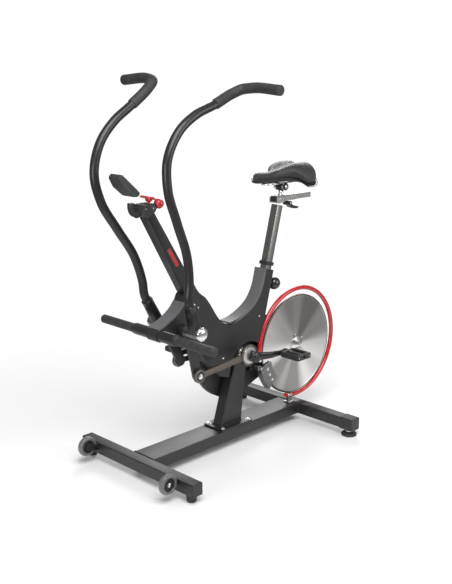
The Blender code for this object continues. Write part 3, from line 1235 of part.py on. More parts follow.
def main():
    clear_scene()
    root = Body("air_bike")
    build_base(root)
    build_end_caps(root)
    build_feet(root)
    build_transport_wheels(root)
    build_main_frame(root)
    build_covers(root)
    build_upright(root)
    build_nose(root)
    build_foot_bar(root)

    crank = Body("body_crank", (0, CRANK_Y, CRANK_Z), root)
    build_crank_axle(crank)
    build_drive_pulley(crank)
    for side, prefix in ((1, "left"), (-1, "right")):
        arm = Body(f"body_{prefix}_arm", (0, PIVOT_Y, PIVOT_Z), root)
        build_lever(arm, side, prefix, build_arm(arm, side, prefix))
        build_crank(crank, side, prefix)
        link = Body(f"body_{prefix}_rod", (0, *eccentric_centre(side)), crank)
        build_rod(link, side, prefix)
        pedal = Body(f"body_{prefix}_pedal", (0, *pedal_centre(side)), crank)
        build_pedal(pedal, side, prefix)

    wheel = Body("body_flywheel", (0, FLYWHEEL_Y, FLYWHEEL_Z), root)
    build_flywheel(wheel)
    build_belt(root)
    build_belt_guard(root)
    build_wheel_stay(root)
    build_ring_guard(root)
    build_brake(Body("body_brake", (0, BRAKE_PIVOT_Y, BRAKE_PIVOT_Z), root))

    post = Body("body_seat_post", SEAT_FOOT, root)
    build_seat_post(post)
    y0, floor = build_seat_head(post)
    rail = Body("body_seat_rail", (0, y0, floor), post)
    build_rail(rail, y0, floor)
    build_saddle(rail)
    build_collar(root)
    build_pop_pin(Body("body_pop_pin", seat_point(POP_PIN_ALONG), root))
    lock_y = y0 + HEAD_LENGTH - LOCK_INSET
    build_rail_lock(Body("body_rail_lock", (0, lock_y, LOCK_Z), post), lock_y)

    build_mast_head(root)
    build_console(Body("body_console", (0, CONSOLE_HINGE_Y, CONSOLE_HINGE_Z), root), root)
    build_shift_lever(Body("body_shift", (0, SHIFT_Y, SHIFT_Z), root))


main()
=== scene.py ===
"""Looks of an indoor training bike with arm levers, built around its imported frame.

Units are metres and +Z is up.  The rider faces -Y and the rider's left is +X.  Places are
given on the bike's own datum: Y is measured from the rear face of the front cross tube, and
`Bike.datum` moves it to the frame's origin.
"""
import json
import logging
from dataclasses import dataclass, field
from enum import Enum
from math import atan2, cos, degrees, hypot, pi, radians, sin
from typing import Iterable, Sequence

import bmesh
import bpy
import numpy as np
from mathutils import Matrix, Vector

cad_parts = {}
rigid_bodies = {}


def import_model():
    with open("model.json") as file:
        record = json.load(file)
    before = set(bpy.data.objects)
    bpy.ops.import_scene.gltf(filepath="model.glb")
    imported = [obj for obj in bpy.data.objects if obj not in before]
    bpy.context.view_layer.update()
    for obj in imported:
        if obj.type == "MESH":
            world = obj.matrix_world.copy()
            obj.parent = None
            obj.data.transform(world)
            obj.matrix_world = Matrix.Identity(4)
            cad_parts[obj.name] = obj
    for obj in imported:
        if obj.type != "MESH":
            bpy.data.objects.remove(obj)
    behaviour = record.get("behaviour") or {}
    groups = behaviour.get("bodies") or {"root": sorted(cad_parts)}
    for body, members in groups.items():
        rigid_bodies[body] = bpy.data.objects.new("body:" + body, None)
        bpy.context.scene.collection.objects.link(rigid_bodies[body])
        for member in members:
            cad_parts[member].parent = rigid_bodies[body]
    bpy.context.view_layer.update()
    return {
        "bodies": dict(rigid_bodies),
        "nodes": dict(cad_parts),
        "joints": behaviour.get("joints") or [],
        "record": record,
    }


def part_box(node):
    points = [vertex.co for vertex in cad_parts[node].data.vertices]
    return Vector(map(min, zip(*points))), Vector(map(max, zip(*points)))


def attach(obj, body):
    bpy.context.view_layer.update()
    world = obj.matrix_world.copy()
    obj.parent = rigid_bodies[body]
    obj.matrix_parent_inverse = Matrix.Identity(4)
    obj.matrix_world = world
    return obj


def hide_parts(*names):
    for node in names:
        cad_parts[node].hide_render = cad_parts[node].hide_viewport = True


log = logging.getLogger("bike")

Colour = tuple[float, float, float]
Place = tuple[float, float, float]
Pair = tuple[float, float]
LEFT = 1
RIGHT = -1
SIDES = ((LEFT, "left"), (RIGHT, "right"))


# ---------------------------------------------------------------- shader expressions

class Wire:
    """A node's output that adds Math nodes when it takes part in arithmetic."""

    def __init__(self, board: "Board", socket: bpy.types.NodeSocket) -> None:
        """Keep the socket and the board that it lies on."""
        self.board = board
        self.socket = socket

    def math(self, operation: str, *values: "Wire | float") -> "Wire":
        """Add one Math node.

        Args:
            operation: the Math node's operation.
            values: its inputs in order, as wires or numbers.

        Returns:
            The node's result.
        """
        return self.board.add("ShaderNodeMath", {"operation": operation}, dict(enumerate(values)))

    def __add__(self, other: "Wire | float") -> "Wire":
        """self + other."""
        return self.math("ADD", self, other)

    __radd__ = __add__

    def __sub__(self, other: "Wire | float") -> "Wire":
        """self - other."""
        return self.math("SUBTRACT", self, other)

    def __rsub__(self, other: float) -> "Wire":
        """other - self."""
        return self.math("SUBTRACT", other, self)

    def __mul__(self, other: "Wire | float") -> "Wire":
        """self * other."""
        return self.math("MULTIPLY", self, other)

    __rmul__ = __mul__

    def __pow__(self, power: float) -> "Wire":
        """self ** power."""
        return self.math("POWER", self, power)

    def over(self, limit: float) -> "Wire":
        """1 where self is above limit, otherwise 0."""
        return self.math("GREATER_THAN", self, limit)


class Board:
    """One material's node tree, ending in a Principled shader."""

    def __init__(self, name: str, colour: Colour, roughness: float, metallic: float,
                 **constants: float) -> None:
        """Start a material.

        Args:
            name: the material's name.
            colour: base colour where nothing drives it.
            roughness: roughness where nothing drives it.
            metallic: 1 for bare metal, 0 for anything else.
            constants: other shader sockets, with _ for each space in the name.
        """
        self.material = bpy.data.materials.new(name)
        self.material.use_nodes = True
        self.tree = self.material.node_tree
        self.shader = self.tree.nodes["Principled BSDF"]
        self.set("Base Color", (*colour, 1.0))
        self.set("Roughness", roughness)
        self.set("Metallic", metallic)
        for socket, value in constants.items():
            self.set(socket.replace("_", " ").title().replace("Ior", "IOR"), value)

    def set(self, socket: str, value: "Wire | float | Sequence[float]") -> None:
        """Give a shader socket a value or a link."""
        self.plug(self.shader.inputs[socket], value)

    def plug(self, socket: bpy.types.NodeSocket, value: "Wire | float | Sequence[float]") -> None:
        """Link a wire into a socket, or set its own value."""
        if isinstance(value, Wire):
            self.tree.links.new(value.socket, socket)
        else:
            socket.default_value = value

    def add(self, kind: str, settings: dict | None = None, inputs: dict | None = None,
            output: int | str = 0) -> Wire:
        """Add any node.

        Args:
            kind: the node's type.
            settings: its properties; "stops" holds a ramp's (position, grey) pairs.
            inputs: values or wires of its sockets, by name or index.
            output: which output to return.

        Returns:
            The chosen output.
        """
        node = self.tree.nodes.new(kind)
        for key, value in (settings or {}).items():
            if key == "stops":
                ramp = node.color_ramp.elements
                for index, (position, grey) in enumerate(value):
                    stop = ramp[index] if index < 2 else ramp.new(position)
                    stop.position = position
                    stop.color = (grey, grey, grey, 1.0)
            else:
                setattr(node, key, value)
        for key, value in (inputs or {}).items():
            self.plug(node.inputs[key], value)
        return Wire(self, node.outputs[output])

    def place(self, stretch: Place = (1.0, 1.0, 1.0), shift: Place = (0.0, 0.0, 0.0)) -> Wire:
        """Object coordinates, moved by shift and then stretched along each axis."""
        where = self.add("ShaderNodeTexCoord", output="Object")
        moved = self.add("ShaderNodeVectorMath", {"operation": "ADD"}, {0: where, 1: shift})
        return self.add("ShaderNodeVectorMath", {"operation": "MULTIPLY"}, {0: moved, 1: stretch})

    def noise(self, where: Wire, scale: float, detail: float = 2.0,
              roughness: float = 0.5) -> Wire:
        """Fractal noise of the given scale, about 0.5 on average."""
        return self.add("ShaderNodeTexNoise", None,
                        {"Vector": where, "Scale": scale, "Detail": detail,
                         "Roughness": roughness})

    def ramp(self, value: Wire, *stops: Pair) -> Wire:
        """A value carried through a ramp of (position, grey) stops."""
        return self.add("ShaderNodeValToRGB", {"stops": stops}, {"Fac": value})

    def mix(self, share: "Wire | float", first: Colour, second: "Colour | Wire") -> Wire:
        """A colour between two, by share."""
        other = second if isinstance(second, Wire) else (*second, 1.0)
        start = first if isinstance(first, Wire) else (*first, 1.0)
        return self.add("ShaderNodeMix", {"data_type": "RGBA"},
                        {0: share, 6: start, 7: other}, output=2)

    def relief(self, height: Wire, depth: float, strength: float = 1.0) -> None:
        """Bump the surface by a height between 0 and 1, times depth in metres."""
        self.set("Normal", self.add("ShaderNodeBump", None,
                                    {"Height": height, "Distance": depth,
                                     "Strength": strength}))


def lighter(colour: Colour, factor: float) -> Colour:
    """A colour times a factor, kept within 1."""
    return tuple(min(1.0, channel * factor) for channel in colour)


# ---------------------------------------------------------------- finishes

@dataclass(frozen=True)
class Finish:
    """What every finish has: a name, a colour and the frame's material slot."""

    name: str
    slot: str
    colour: Colour
    roughness: float

    def dress(self) -> bpy.types.Material:
        """Build the material; each kind of finish has its own."""
        raise NotImplementedError


@dataclass(frozen=True)
class PowderCoat(Finish):
    """Baked powder paint: a fine orange peel, faint clouding and rubbed edges."""

    peel: float = 520.0
    depth: float = 0.00016
    rub: float = 2.6

    def dress(self) -> bpy.types.Material:
        """Peel is noise at about 2 mm, and edges lighten with the surface's pointiness."""
        board = Board(self.name, self.colour, self.roughness, 0.0)
        where = board.place()
        cloud = board.noise(where, 9.0, 4.0)
        edge = board.ramp(board.add("ShaderNodeNewGeometry", output="Pointiness"),
                          (0.53, 0.0), (0.62, 1.0))
        scuff = edge * board.ramp(board.noise(where, 60.0, 4.0, 0.7), (0.45, 0.0), (0.62, 1.0))
        body = board.mix(cloud, lighter(self.colour, 0.8), lighter(self.colour, 1.3))
        board.set("Base Color", board.mix(scuff * 0.5, body, lighter(self.colour, self.rub)))
        board.set("Roughness", cloud * 0.14 + (self.roughness - 0.07))
        board.relief(board.noise(where, self.peel, 2.0), self.depth)
        return board.material


@dataclass(frozen=True)
class MouldedPlastic(Finish):
    """Injection-moulded plastic with a fine spark-eroded grain."""

    grain: float = 1500.0
    depth: float = 0.00012

    def dress(self) -> bpy.types.Material:
        """Grain is cellular noise under a millimetre, over broad changes of gloss."""
        board = Board(self.name, self.colour, self.roughness, 0.0)
        where = board.place()
        cells = board.add("ShaderNodeTexVoronoi", {"feature": "F1"},
                          {"Vector": where, "Scale": self.grain})
        cloud = board.noise(where, 14.0, 5.0, 0.6)
        board.set("Base Color", board.mix(cloud, lighter(self.colour, 0.85),
                                          lighter(self.colour, 1.2)))
        board.set("Roughness", cloud * 0.18 + (self.roughness - 0.09))
        board.relief(cells, self.depth)
        return board.material


@dataclass(frozen=True)
class GlossPlastic(Finish):
    """Smooth glossy plastic with faint ripples and finger marks."""

    def dress(self) -> bpy.types.Material:
        """Finger marks are patches of noise that raise the roughness."""
        board = Board(self.name, self.colour, self.roughness, 0.0, coat_roughness=0.08)
        where = board.place()
        marks = board.ramp(board.noise(where, 45.0, 5.0, 0.65), (0.42, 0.0), (0.70, 1.0))
        board.set("Base Color", board.mix(board.noise(where, 20.0), lighter(self.colour, 0.85),
                                          lighter(self.colour, 1.15)))
        board.set("Roughness", marks * 0.16 + self.roughness)
        board.set("Coat Weight", 0.6 - marks * 0.3)
        board.relief(board.noise(where, 120.0), 0.00008)
        return board.material


class RubberPattern(Enum):
    """What is pressed into a rubber's surface."""

    PLAIN = "plain"
    RIBBED = "ribbed"
    STIPPLED = "stippled"


@dataclass(frozen=True)
class Rubber(Finish):
    """Matt rubber, plain or with ribs across X or stipples."""

    pattern: RubberPattern = RubberPattern.PLAIN

    def dress(self) -> bpy.types.Material:
        """Ribs are a sine of X, and stipples are cells about 2 mm across."""
        board = Board(self.name, self.colour, self.roughness, 0.0)
        where = board.place()
        dust = board.noise(where, 38.0, 5.0, 0.7)
        board.set("Base Color", board.mix(board.ramp(dust, (0.40, 0.0), (0.75, 1.0)),
                                          self.colour, lighter(self.colour, 2.0)))
        board.set("Roughness", dust * 0.16 + (self.roughness - 0.08))
        if self.pattern is RubberPattern.RIBBED:
            along = board.add("ShaderNodeSeparateXYZ", None, {0: where}, output="X")
            height = (along * 1250.0).math("SINE", along * 1250.0) * 0.5 + 0.5
            board.relief(height, 0.00045)
        elif self.pattern is RubberPattern.STIPPLED:
            board.relief(board.add("ShaderNodeTexVoronoi", {"feature": "SMOOTH_F1"},
                                   {"Vector": where, "Scale": 420.0}), 0.00045)
        else:
            board.relief(board.noise(where, 900.0), 0.0002)
        return board.material


@dataclass(frozen=True)
class Brushed(Finish):
    """Bare metal with brush marks along one axis, or polished where the marks are faint."""

    stretch: Place = (1.0, 1.0, 0.04)
    marks: float = 900.0
    depth: float = 0.00003
    spread: float = 0.16

    def dress(self) -> bpy.types.Material:
        """Brush marks are noise squeezed along the brushing direction."""
        board = Board(self.name, self.colour, self.roughness, 1.0)
        lines = board.noise(board.place(self.stretch), self.marks, 3.0)
        smear = board.noise(board.place(), 22.0, 4.0, 0.6)
        board.set("Base Color", board.mix(lines, lighter(self.colour, 0.82),
                                          lighter(self.colour, 1.12)))
        board.set("Roughness", (lines * 0.5 + smear * 0.5) * self.spread
                  + (self.roughness - self.spread / 2))
        board.relief(lines, self.depth)
        return board.material


@dataclass(frozen=True)
class Forged(Finish):
    """Forged steel under clear lacquer: a pebbled skin with darker hollows."""

    def dress(self) -> bpy.types.Material:
        """Pebbles are two octaves of cells; hollows are darker and rougher."""
        board = Board(self.name, self.colour, self.roughness, 0.92, coat_roughness=0.25)
        where = board.place()
        pebble = board.noise(where, 210.0, 4.0, 0.6)
        board.set("Base Color", board.mix(board.ramp(pebble, (0.35, 0.0), (0.65, 1.0)),
                                          lighter(self.colour, 0.62), lighter(self.colour, 1.25)))
        board.set("Roughness", (1.0 - pebble) * 0.3 + (self.roughness - 0.15))
        board.set("Coat Weight", 0.25)
        board.relief(pebble, 0.00030)
        return board.material


@dataclass(frozen=True)
class Spun(Finish):
    """Metal turned on a lathe: fine grooves round an axis along X, and painted reflection wedges in
    its colour.
    """

    centre: Pair = (0.0, 0.0)
    grooves: float = 5200.0
    reflection_wedges: int = 2
    first_reflection_angle: float = 0.9

    def dress(self) -> bpy.types.Material:
        """Grooves are a sine of the radius; the painted reflection wedges brighten with a power of
        the angle's cosine.
        """
        board = Board(self.name, self.colour, self.roughness, 1.0)
        where = board.place(shift=(0.0, -self.centre[0], -self.centre[1]))
        y = board.add("ShaderNodeSeparateXYZ", None, {0: where}, output="Y")
        z = board.add("ShaderNodeSeparateXYZ", None, {0: where}, output="Z")
        radius = (y * y + z * z) ** 0.5
        angle = y.math("ARCTAN2", z, y)
        # Painted reflection: bright wedges fixed to the angle round the axis stand in for the
        # reflections of the lathe grooves.
        broad = angle * float(self.reflection_wedges) + self.first_reflection_angle
        narrow = angle * float(self.reflection_wedges * 2 + 3) + self.first_reflection_angle * 2.3
        painted_reflection = (broad.math("COSINE", broad) * 0.5 + narrow.math("COSINE", narrow) * 0.28
                 + 0.5)
        painted_reflection = board.ramp(painted_reflection, (0.10, 0.0), (0.95, 1.0))
        streak = board.noise(board.add("ShaderNodeCombineXYZ", None, {0: radius * 60.0}), 20.0,
                             3.0, 0.7)
        tone = painted_reflection * 0.75 + streak * 0.25
        # The colour is mostly painted reflection, mixed with the metal's own radial streaks.
        board.set("Base Color", board.mix(tone, lighter(self.colour, 0.24),
                                          lighter(self.colour, 1.22)))
        board.set("Roughness", (1.0 - painted_reflection) * 0.16 + (self.roughness - 0.06))
        ridge = radius * self.grooves
        board.relief(ridge.math("SINE", ridge) * 0.5 + 0.5, 0.00002, 0.6)
        return board.material


@dataclass(frozen=True)
class Vinyl(Finish):
    """Soft upholstery vinyl with a leather-like grain and faint creases."""

    def dress(self) -> bpy.types.Material:
        """Grain is cell edges at about 1.5 mm, with slow creases over them."""
        board = Board(self.name, self.colour, self.roughness, 0.0, sheen_weight=0.12)
        where = board.place()
        cells = board.add("ShaderNodeTexVoronoi", {"feature": "DISTANCE_TO_EDGE"},
                          {"Vector": where, "Scale": 620.0})
        grain = board.ramp(cells, (0.0, 0.0), (0.12, 1.0))
        crease = board.noise(board.place((1.0, 2.6, 1.0)), 26.0, 5.0, 0.55)
        board.set("Base Color", board.mix(crease, lighter(self.colour, 0.8),
                                          lighter(self.colour, 1.5)))
        board.set("Roughness", crease * 0.2 + (self.roughness - 0.1))
        board.relief(grain * 0.35 + crease * 0.65, 0.0006)
        return board.material


@dataclass(frozen=True)
class SoftTyre(Finish):
    """Semi-clear polyurethane whose colour pales at grazing angles: a painted sheen."""

    def dress(self) -> bpy.types.Material:
        """A painted sheen pales the colour at grazing angles, and the tyre's own tone clouds
        slightly.
        """
        board = Board(self.name, self.colour, self.roughness, 0.0, subsurface_weight=0.35,
                      subsurface_scale=0.01, coat_roughness=0.15)
        # Painted sheen: the colour is lighter where the surface is seen edge-on from the camera.
        painted_sheen = board.add("ShaderNodeLayerWeight", None, {"Blend": 0.35}, output="Facing")
        cloud = board.noise(board.place(), 55.0, 3.0)
        board.set("Base Color", board.mix(painted_sheen * 0.7 + cloud * 0.3, self.colour,
                                          lighter(self.colour, 2.1)))
        board.set("Roughness", cloud * 0.2 + (self.roughness - 0.1))
        board.set("Coat Weight", 0.5)
        board.relief(cloud, 0.0003)
        return board.material


@dataclass(frozen=True)
class DisplayGlass(Finish):
    """A display window: dark border and a pale grey-green panel with blank digit fields."""

    centre: Place = (0.0, 0.0, 0.0)
    half_width: float = 0.02

    def dress(self) -> bpy.types.Material:
        """The panel is where |X| is under its half width; its fields are a brick pattern."""
        board = Board(self.name, self.colour, self.roughness, 0.0, coat_roughness=0.03)
        where = board.place(shift=tuple(-value for value in self.centre))
        x = board.add("ShaderNodeSeparateXYZ", None, {0: where}, output="X")
        panel = 1.0 - x.math("ABSOLUTE", x).over(self.half_width)
        turned = board.add("ShaderNodeMapping", None,
                           {"Vector": where, "Rotation": (radians(-41.5), 0.0, 0.0)})
        fields = board.add("ShaderNodeTexBrick", {"offset": 0.0},
                           {"Vector": turned, "Scale": 1.0, "Brick Width": 0.017,
                            "Row Height": 0.013, "Mortar Size": 0.0012,
                            "Color1": (0.17, 0.19, 0.16, 1), "Color2": (0.15, 0.17, 0.15, 1),
                            "Mortar": (0.05, 0.055, 0.05, 1)})
        board.set("Base Color", board.mix(panel, self.colour, fields))
        board.set("Roughness", board.noise(where, 60.0, 4.0) * 0.12 + self.roughness)
        board.set("Coat Weight", 0.8)
        return board.material


# ---------------------------------------------------------------- surfaces

@dataclass
class Surface:
    """Vertices and faces worked out as whole arrays, in datum coordinates."""

    points: np.ndarray
    faces: list[tuple[int, ...]]

    def __add__(self, other: "Surface") -> "Surface":
        """Two surfaces in one mesh."""
        start = len(self.points)
        moved = [tuple(index + start for index in face) for face in other.faces]
        return Surface(np.vstack((self.points, other.points)), self.faces + moved)

    def turned(self, matrix: Matrix) -> "Surface":
        """The surface carried through a matrix."""
        turn = np.array(matrix)
        return Surface(self.points @ turn[:3, :3].T + turn[:3, 3], self.faces)

    def mirrored(self, side: int) -> "Surface":
        """The surface itself on the left, and its mirror image in X = 0 on the right."""
        return Surface(self.points * np.array((side, 1.0, 1.0)), self.faces)


def net(rings: int, sides: int, capped: bool = True, closed: bool = False) -> list[tuple]:
    """Quads between successive rings of a grid of rings by sides.

    Args:
        rings: number of rings.
        sides: points in each ring, which closes on itself.
        capped: fill the first and the last ring.
        closed: join the last ring to the first.

    Returns:
        The faces as tuples of indices.
    """
    row = np.arange(rings if closed else rings - 1)[:, None]
    col = np.arange(sides)[None, :]
    ahead = (row + 1) % rings
    after = (col + 1) % sides
    quads = np.stack(np.broadcast_arrays(row * sides + col, row * sides + after,
                                         ahead * sides + after, ahead * sides + col), -1)
    faces = [tuple(face) for face in quads.reshape(-1, 4).tolist()]
    if capped and not closed:
        faces.append(tuple(range(sides)))
        faces.append(tuple(range(rings * sides - sides, rings * sides)))
    return faces


def lathe(profile: Sequence[Pair], centre: Pair, sides: int = 72) -> Surface:
    """A profile of (x, radius) turned about the line through centre = (y, z) along X.

    Point (i, j) is (x_i, y + r_i cos t_j, z + r_i sin t_j) with t_j evenly round the circle.
    """
    along, radius = np.array(profile, float).T
    turn = np.linspace(0.0, 2 * pi, sides, endpoint=False)
    grid = np.stack((np.broadcast_to(along[:, None], (len(along), sides)),
                     centre[0] + radius[:, None] * np.cos(turn),
                     centre[1] + radius[:, None] * np.sin(turn)), -1)
    hollow = min(radius[0], radius[-1]) > 1e-9 and profile[0] == profile[-1]
    return Surface(grid.reshape(-1, 3), net(len(along), sides, capped=not hollow))


def stood(profile: Sequence[Pair], x: float, y: float, sides: int = 56) -> Surface:
    """A profile of (z, radius) turned about the vertical line at (x, y)."""
    turn = Matrix.Translation((x, y, 0.0)) @ Matrix.Rotation(-pi / 2, 4, "Y")
    return lathe(profile, (0.0, 0.0), sides).turned(turn)


def aimed(profile: Sequence[Pair], start: Place, toward: Place, sides: int = 40) -> Surface:
    """A profile of (distance, radius) turned about the line from start toward a direction."""
    turn = Vector(toward).to_track_quat("X", "Z").to_matrix().to_4x4()
    return lathe(profile, (0.0, 0.0), sides).turned(Matrix.Translation(start) @ turn)


def rounded_bar(x0: float, x1: float, radius: float, fillet: float = 0.001) -> list[Pair]:
    """Profile of a plain bar from x0 to x1 with rounded rims."""
    turn = np.linspace(0.0, pi / 2, 4)
    sign = 1.0 if x1 > x0 else -1.0
    first = [(x0 + sign * fillet * (1 - cos(a)), radius - fillet + fillet * sin(a))
             for a in turn]
    last = [(x1 - sign * fillet * (1 - cos(a)), radius - fillet + fillet * sin(a))
            for a in reversed(turn)]
    return [(x0, 0.0)] + first + last + [(x1, 0.0)]


def eased(points: Sequence[Place], per_span: int = 10) -> np.ndarray:
    """A smooth curve through the points: Catmull-Rom spans with chord-length tangents."""
    knots = np.array(points, float)
    steps = np.linalg.norm(np.diff(knots, axis=0), axis=1)
    slope = np.diff(knots, axis=0) / steps[:, None]
    inner = (slope[:-1] * steps[1:, None] + slope[1:] * steps[:-1, None]) \
        / (steps[:-1] + steps[1:])[:, None]
    tangents = np.vstack((slope[:1], inner, slope[-1:]))
    t = np.linspace(0.0, 1.0, per_span, endpoint=False)[None, :, None]
    a, b = knots[:-1, None], knots[1:, None]
    ta = tangents[:-1, None] * steps[:, None, None]
    tb = tangents[1:, None] * steps[:, None, None]
    curve = ((2 * t**3 - 3 * t**2 + 1) * a + (t**3 - 2 * t**2 + t) * ta
             + (3 * t**2 - 2 * t**3) * b + (t**3 - t**2) * tb)
    return np.vstack((curve.reshape(-1, 3), knots[-1:]))


def carried(path: np.ndarray, radius: "float | np.ndarray", sides: int = 28,
            lip: float = 0.0) -> Surface:
    """A circle carried along a path without twist, with its ends rounded by lip.

    Each ring is path_i + r_i (u_i cos t + v_i sin t), where u_i turns only as the path does.
    """
    path = np.array(path, float)
    radii = np.broadcast_to(np.asarray(radius, float), (len(path),)).copy()
    ahead = np.gradient(path, axis=0)
    ahead /= np.linalg.norm(ahead, axis=1)[:, None]
    if lip:
        turn = np.linspace(0.0, pi / 2, 5)
        inside = np.linalg.norm(path - path[0], axis=1) > lip
        inside &= np.linalg.norm(path - path[-1], axis=1) > lip
        grown = np.sort(1 - np.sin(turn))
        start = path[0] + ahead[0] * (lip * grown)[:, None]
        first_r = radii[0] - lip + lip * np.sqrt(1 - (1 - grown) ** 2)
        ends = path[-1] - ahead[-1] * (lip * grown[::-1])[:, None]
        last_r = radii[-1] - lip + lip * np.sqrt(1 - (1 - grown[::-1]) ** 2)
        radii = np.concatenate((first_r, radii[inside], last_r))
        path = np.vstack((start, path[inside], ends))
        ahead = np.gradient(path, axis=0)
        ahead /= np.linalg.norm(ahead, axis=1)[:, None]
    side = np.cross(ahead[0], (0.31, 0.17, 0.94))
    frames = []
    for direction in ahead:
        side = side - direction * side.dot(direction)
        side = side / np.linalg.norm(side)
        frames.append((side, np.cross(direction, side)))
    u, v = (np.array(vectors)[:, None, :] for vectors in zip(*frames))
    turn = np.linspace(0.0, 2 * pi, sides, endpoint=False)[None, :, None]
    grid = path[:, None, :] + radii[:, None, None] * (u * np.cos(turn) + v * np.sin(turn))
    return Surface(grid.reshape(-1, 3), net(len(path), sides))


def slab(outline: Sequence[Pair], x0: float, x1: float) -> Surface:
    """An outline of (y, z) points carried straight from x0 to x1."""
    flat = np.array(outline, float)
    rings = [np.column_stack((np.full(len(flat), x), flat)) for x in (x0, x1)]
    return Surface(np.vstack(rings), net(2, len(flat)))


def block(low: Place, high: Place) -> Surface:
    """A box between two corners."""
    (x0, y0, z0), (x1, y1, z1) = low, high
    return slab([(y0, z0), (y1, z0), (y1, z1), (y0, z1)], x0, x1)


def arc(centre: Pair, radius: float, start: float, end: float, steps: int = 16) -> list[Pair]:
    """Points round an arc from start to end, in degrees from +Y towards +Z."""
    turn = np.radians(np.linspace(start, end, steps + 1))
    return list(zip((centre[0] + radius * np.cos(turn)).tolist(),
                    (centre[1] + radius * np.sin(turn)).tolist()))


def belt_line(first: Pair, second: Pair, big: float, small: float, steps: int = 40) -> list[Pair]:
    """The outline of a belt round two circles, from the tangent angle between them."""
    dy, dz = second[0] - first[0], second[1] - first[1]
    heading = atan2(dz, dy)
    lean = np.arccos((big - small) / hypot(dy, dz))
    around = [degrees(heading + lean), degrees(heading - lean + 2 * pi)]
    ends = [degrees(heading - lean), degrees(heading + lean)]
    return arc(first, big, *around, steps) + arc(second, small, *ends, steps // 2)


def below(outline: Sequence[Pair], level: float) -> list[Pair]:
    """The part of a convex outline under a level."""
    kept: list[Pair] = []
    for (y0, z0), (y1, z1) in zip(outline, [*outline[1:], outline[0]]):
        if z0 <= level:
            kept.append((y0, z0))
        if (z0 - level) * (z1 - level) < 0:
            kept.append((y0 + (y1 - y0) * (level - z0) / (z1 - z0), level))
    return kept


def filleted(outline: Sequence[Pair], radius: float, steps: int = 5) -> list[Pair]:
    """An outline with each corner replaced by an arc that touches both of its edges."""
    result: list[Pair] = []
    count = len(outline)
    for index, corner in enumerate(outline):
        here = Vector(corner)
        back = (Vector(outline[index - 1]) - here)
        ahead = (Vector(outline[(index + 1) % count]) - here)
        reach = min(radius, back.length * 0.45, ahead.length * 0.45)
        start = here + back.normalized() * reach
        end = here + ahead.normalized() * reach
        for share in np.linspace(0.0, 1.0, steps + 1).tolist():
            first = start.lerp(here, share)
            result.append(tuple(first.lerp(here.lerp(end, share), share)))
    return result


# ---------------------------------------------------------------- putting pieces in the scene

@dataclass
class Shop:
    """Where pieces are made: it holds the datum, the finishes and what was built."""

    datum: float
    materials: dict[str, bpy.types.Material] = field(default_factory=dict)
    made: list[str] = field(default_factory=list)

    def material(self, finish: Finish) -> bpy.types.Material:
        """The finish's material, built once."""
        if finish.name not in self.materials:
            self.materials[finish.name] = finish.dress()
        return self.materials[finish.name]

    def build(self, name: str, surface: Surface, finish: Finish, body: str,
              replaces: Iterable[str] = (), bevel: float = 0.0, sharp: float = 38.0,
              segments: int = 3) -> bpy.types.Object:
        """Turn a surface into a finished piece on a body.

        Args:
            name: the piece's name.
            surface: its shape, in datum coordinates.
            finish: what it is made of.
            body: the frame body that it rides on.
            replaces: the frame's nodes that it stands for.
            bevel: width of the rounding on its hard edges, 0 for none.
            sharp: angle in degrees past which an edge is hard.
            segments: steps across the rounding.

        Returns:
            The piece's object, at the origin.
        """
        mesh = bpy.data.meshes.new(name)
        points = surface.points + np.array((0.0, self.datum, 0.0))
        mesh.from_pydata(points.tolist(), [], surface.faces)
        working = bmesh.new()
        working.from_mesh(mesh)
        bmesh.ops.remove_doubles(working, verts=working.verts, dist=1e-6)
        bmesh.ops.dissolve_degenerate(working, edges=working.edges, dist=1e-7)
        bmesh.ops.recalc_face_normals(working, faces=working.faces)
        working.to_mesh(mesh)
        working.free()
        mesh.shade_smooth()
        mesh.set_sharp_from_angle(angle=radians(sharp))
        item = bpy.data.objects.new(name, mesh)
        bpy.context.scene.collection.objects.link(item)
        item.data.materials.append(self.material(finish))
        if bevel:
            modifier = item.modifiers.new("rounding", "BEVEL")
            modifier.width = bevel
            modifier.segments = segments
            modifier.limit_method = "ANGLE"
            modifier.angle_limit = radians(sharp)
            modifier.harden_normals = True
            modifier.use_clamp_overlap = True
        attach(item, body)
        if replaces:
            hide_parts(*replaces)
        self.made.append(name)
        return item

    def repaint(self, node: str, finish: Finish, nodes: dict) -> None:
        """Give a frame node that stays in view a finish of its own."""
        slots = nodes[node].material_slots
        if slots:
            slots[0].material = self.material(finish)
        else:
            nodes[node].data.materials.append(self.material(finish))


# ---------------------------------------------------------------- the bike's own finishes

FRAME_BLACK = PowderCoat("frame_black", "black_paint", (0.012, 0.012, 0.0125), 0.38)
ARM_BLACK = PowderCoat("arm_black", "black_paint", (0.013, 0.013, 0.0135), 0.28, 420.0, 0.00010)
CRANK_BLACK = PowderCoat("crank_black", "black_paint", (0.010, 0.010, 0.0105), 0.20, 420.0,
                         0.00008, 6.0)
COVER_BLACK = MouldedPlastic("cover_black", "black_plastic", (0.014, 0.014, 0.015), 0.46)
SPINE_GREY = MouldedPlastic("spine_grey", "black_plastic", (0.105, 0.106, 0.110), 0.50)
CAP_BLACK = MouldedPlastic("cap_black", "black_plastic", (0.016, 0.016, 0.017), 0.50, 1100.0)
HEAD_GREY = MouldedPlastic("head_grey", "black_plastic", (0.028, 0.0285, 0.030), 0.48)
PEDAL_BLACK = MouldedPlastic("pedal_black", "black_plastic", (0.022, 0.022, 0.023), 0.46, 900.0)
KNOB_BLACK = GlossPlastic("knob_black", "black_plastic", (0.012, 0.012, 0.013), 0.16)
LEVER_RED = GlossPlastic("lever_red", "red_plastic", (0.46, 0.016, 0.022), 0.28)
RING_RED = GlossPlastic("ring_red", "red_paint", (0.46, 0.010, 0.012), 0.20)
ACCENT_RED = GlossPlastic("accent_red", "red_plastic", (0.40, 0.020, 0.022), 0.40)
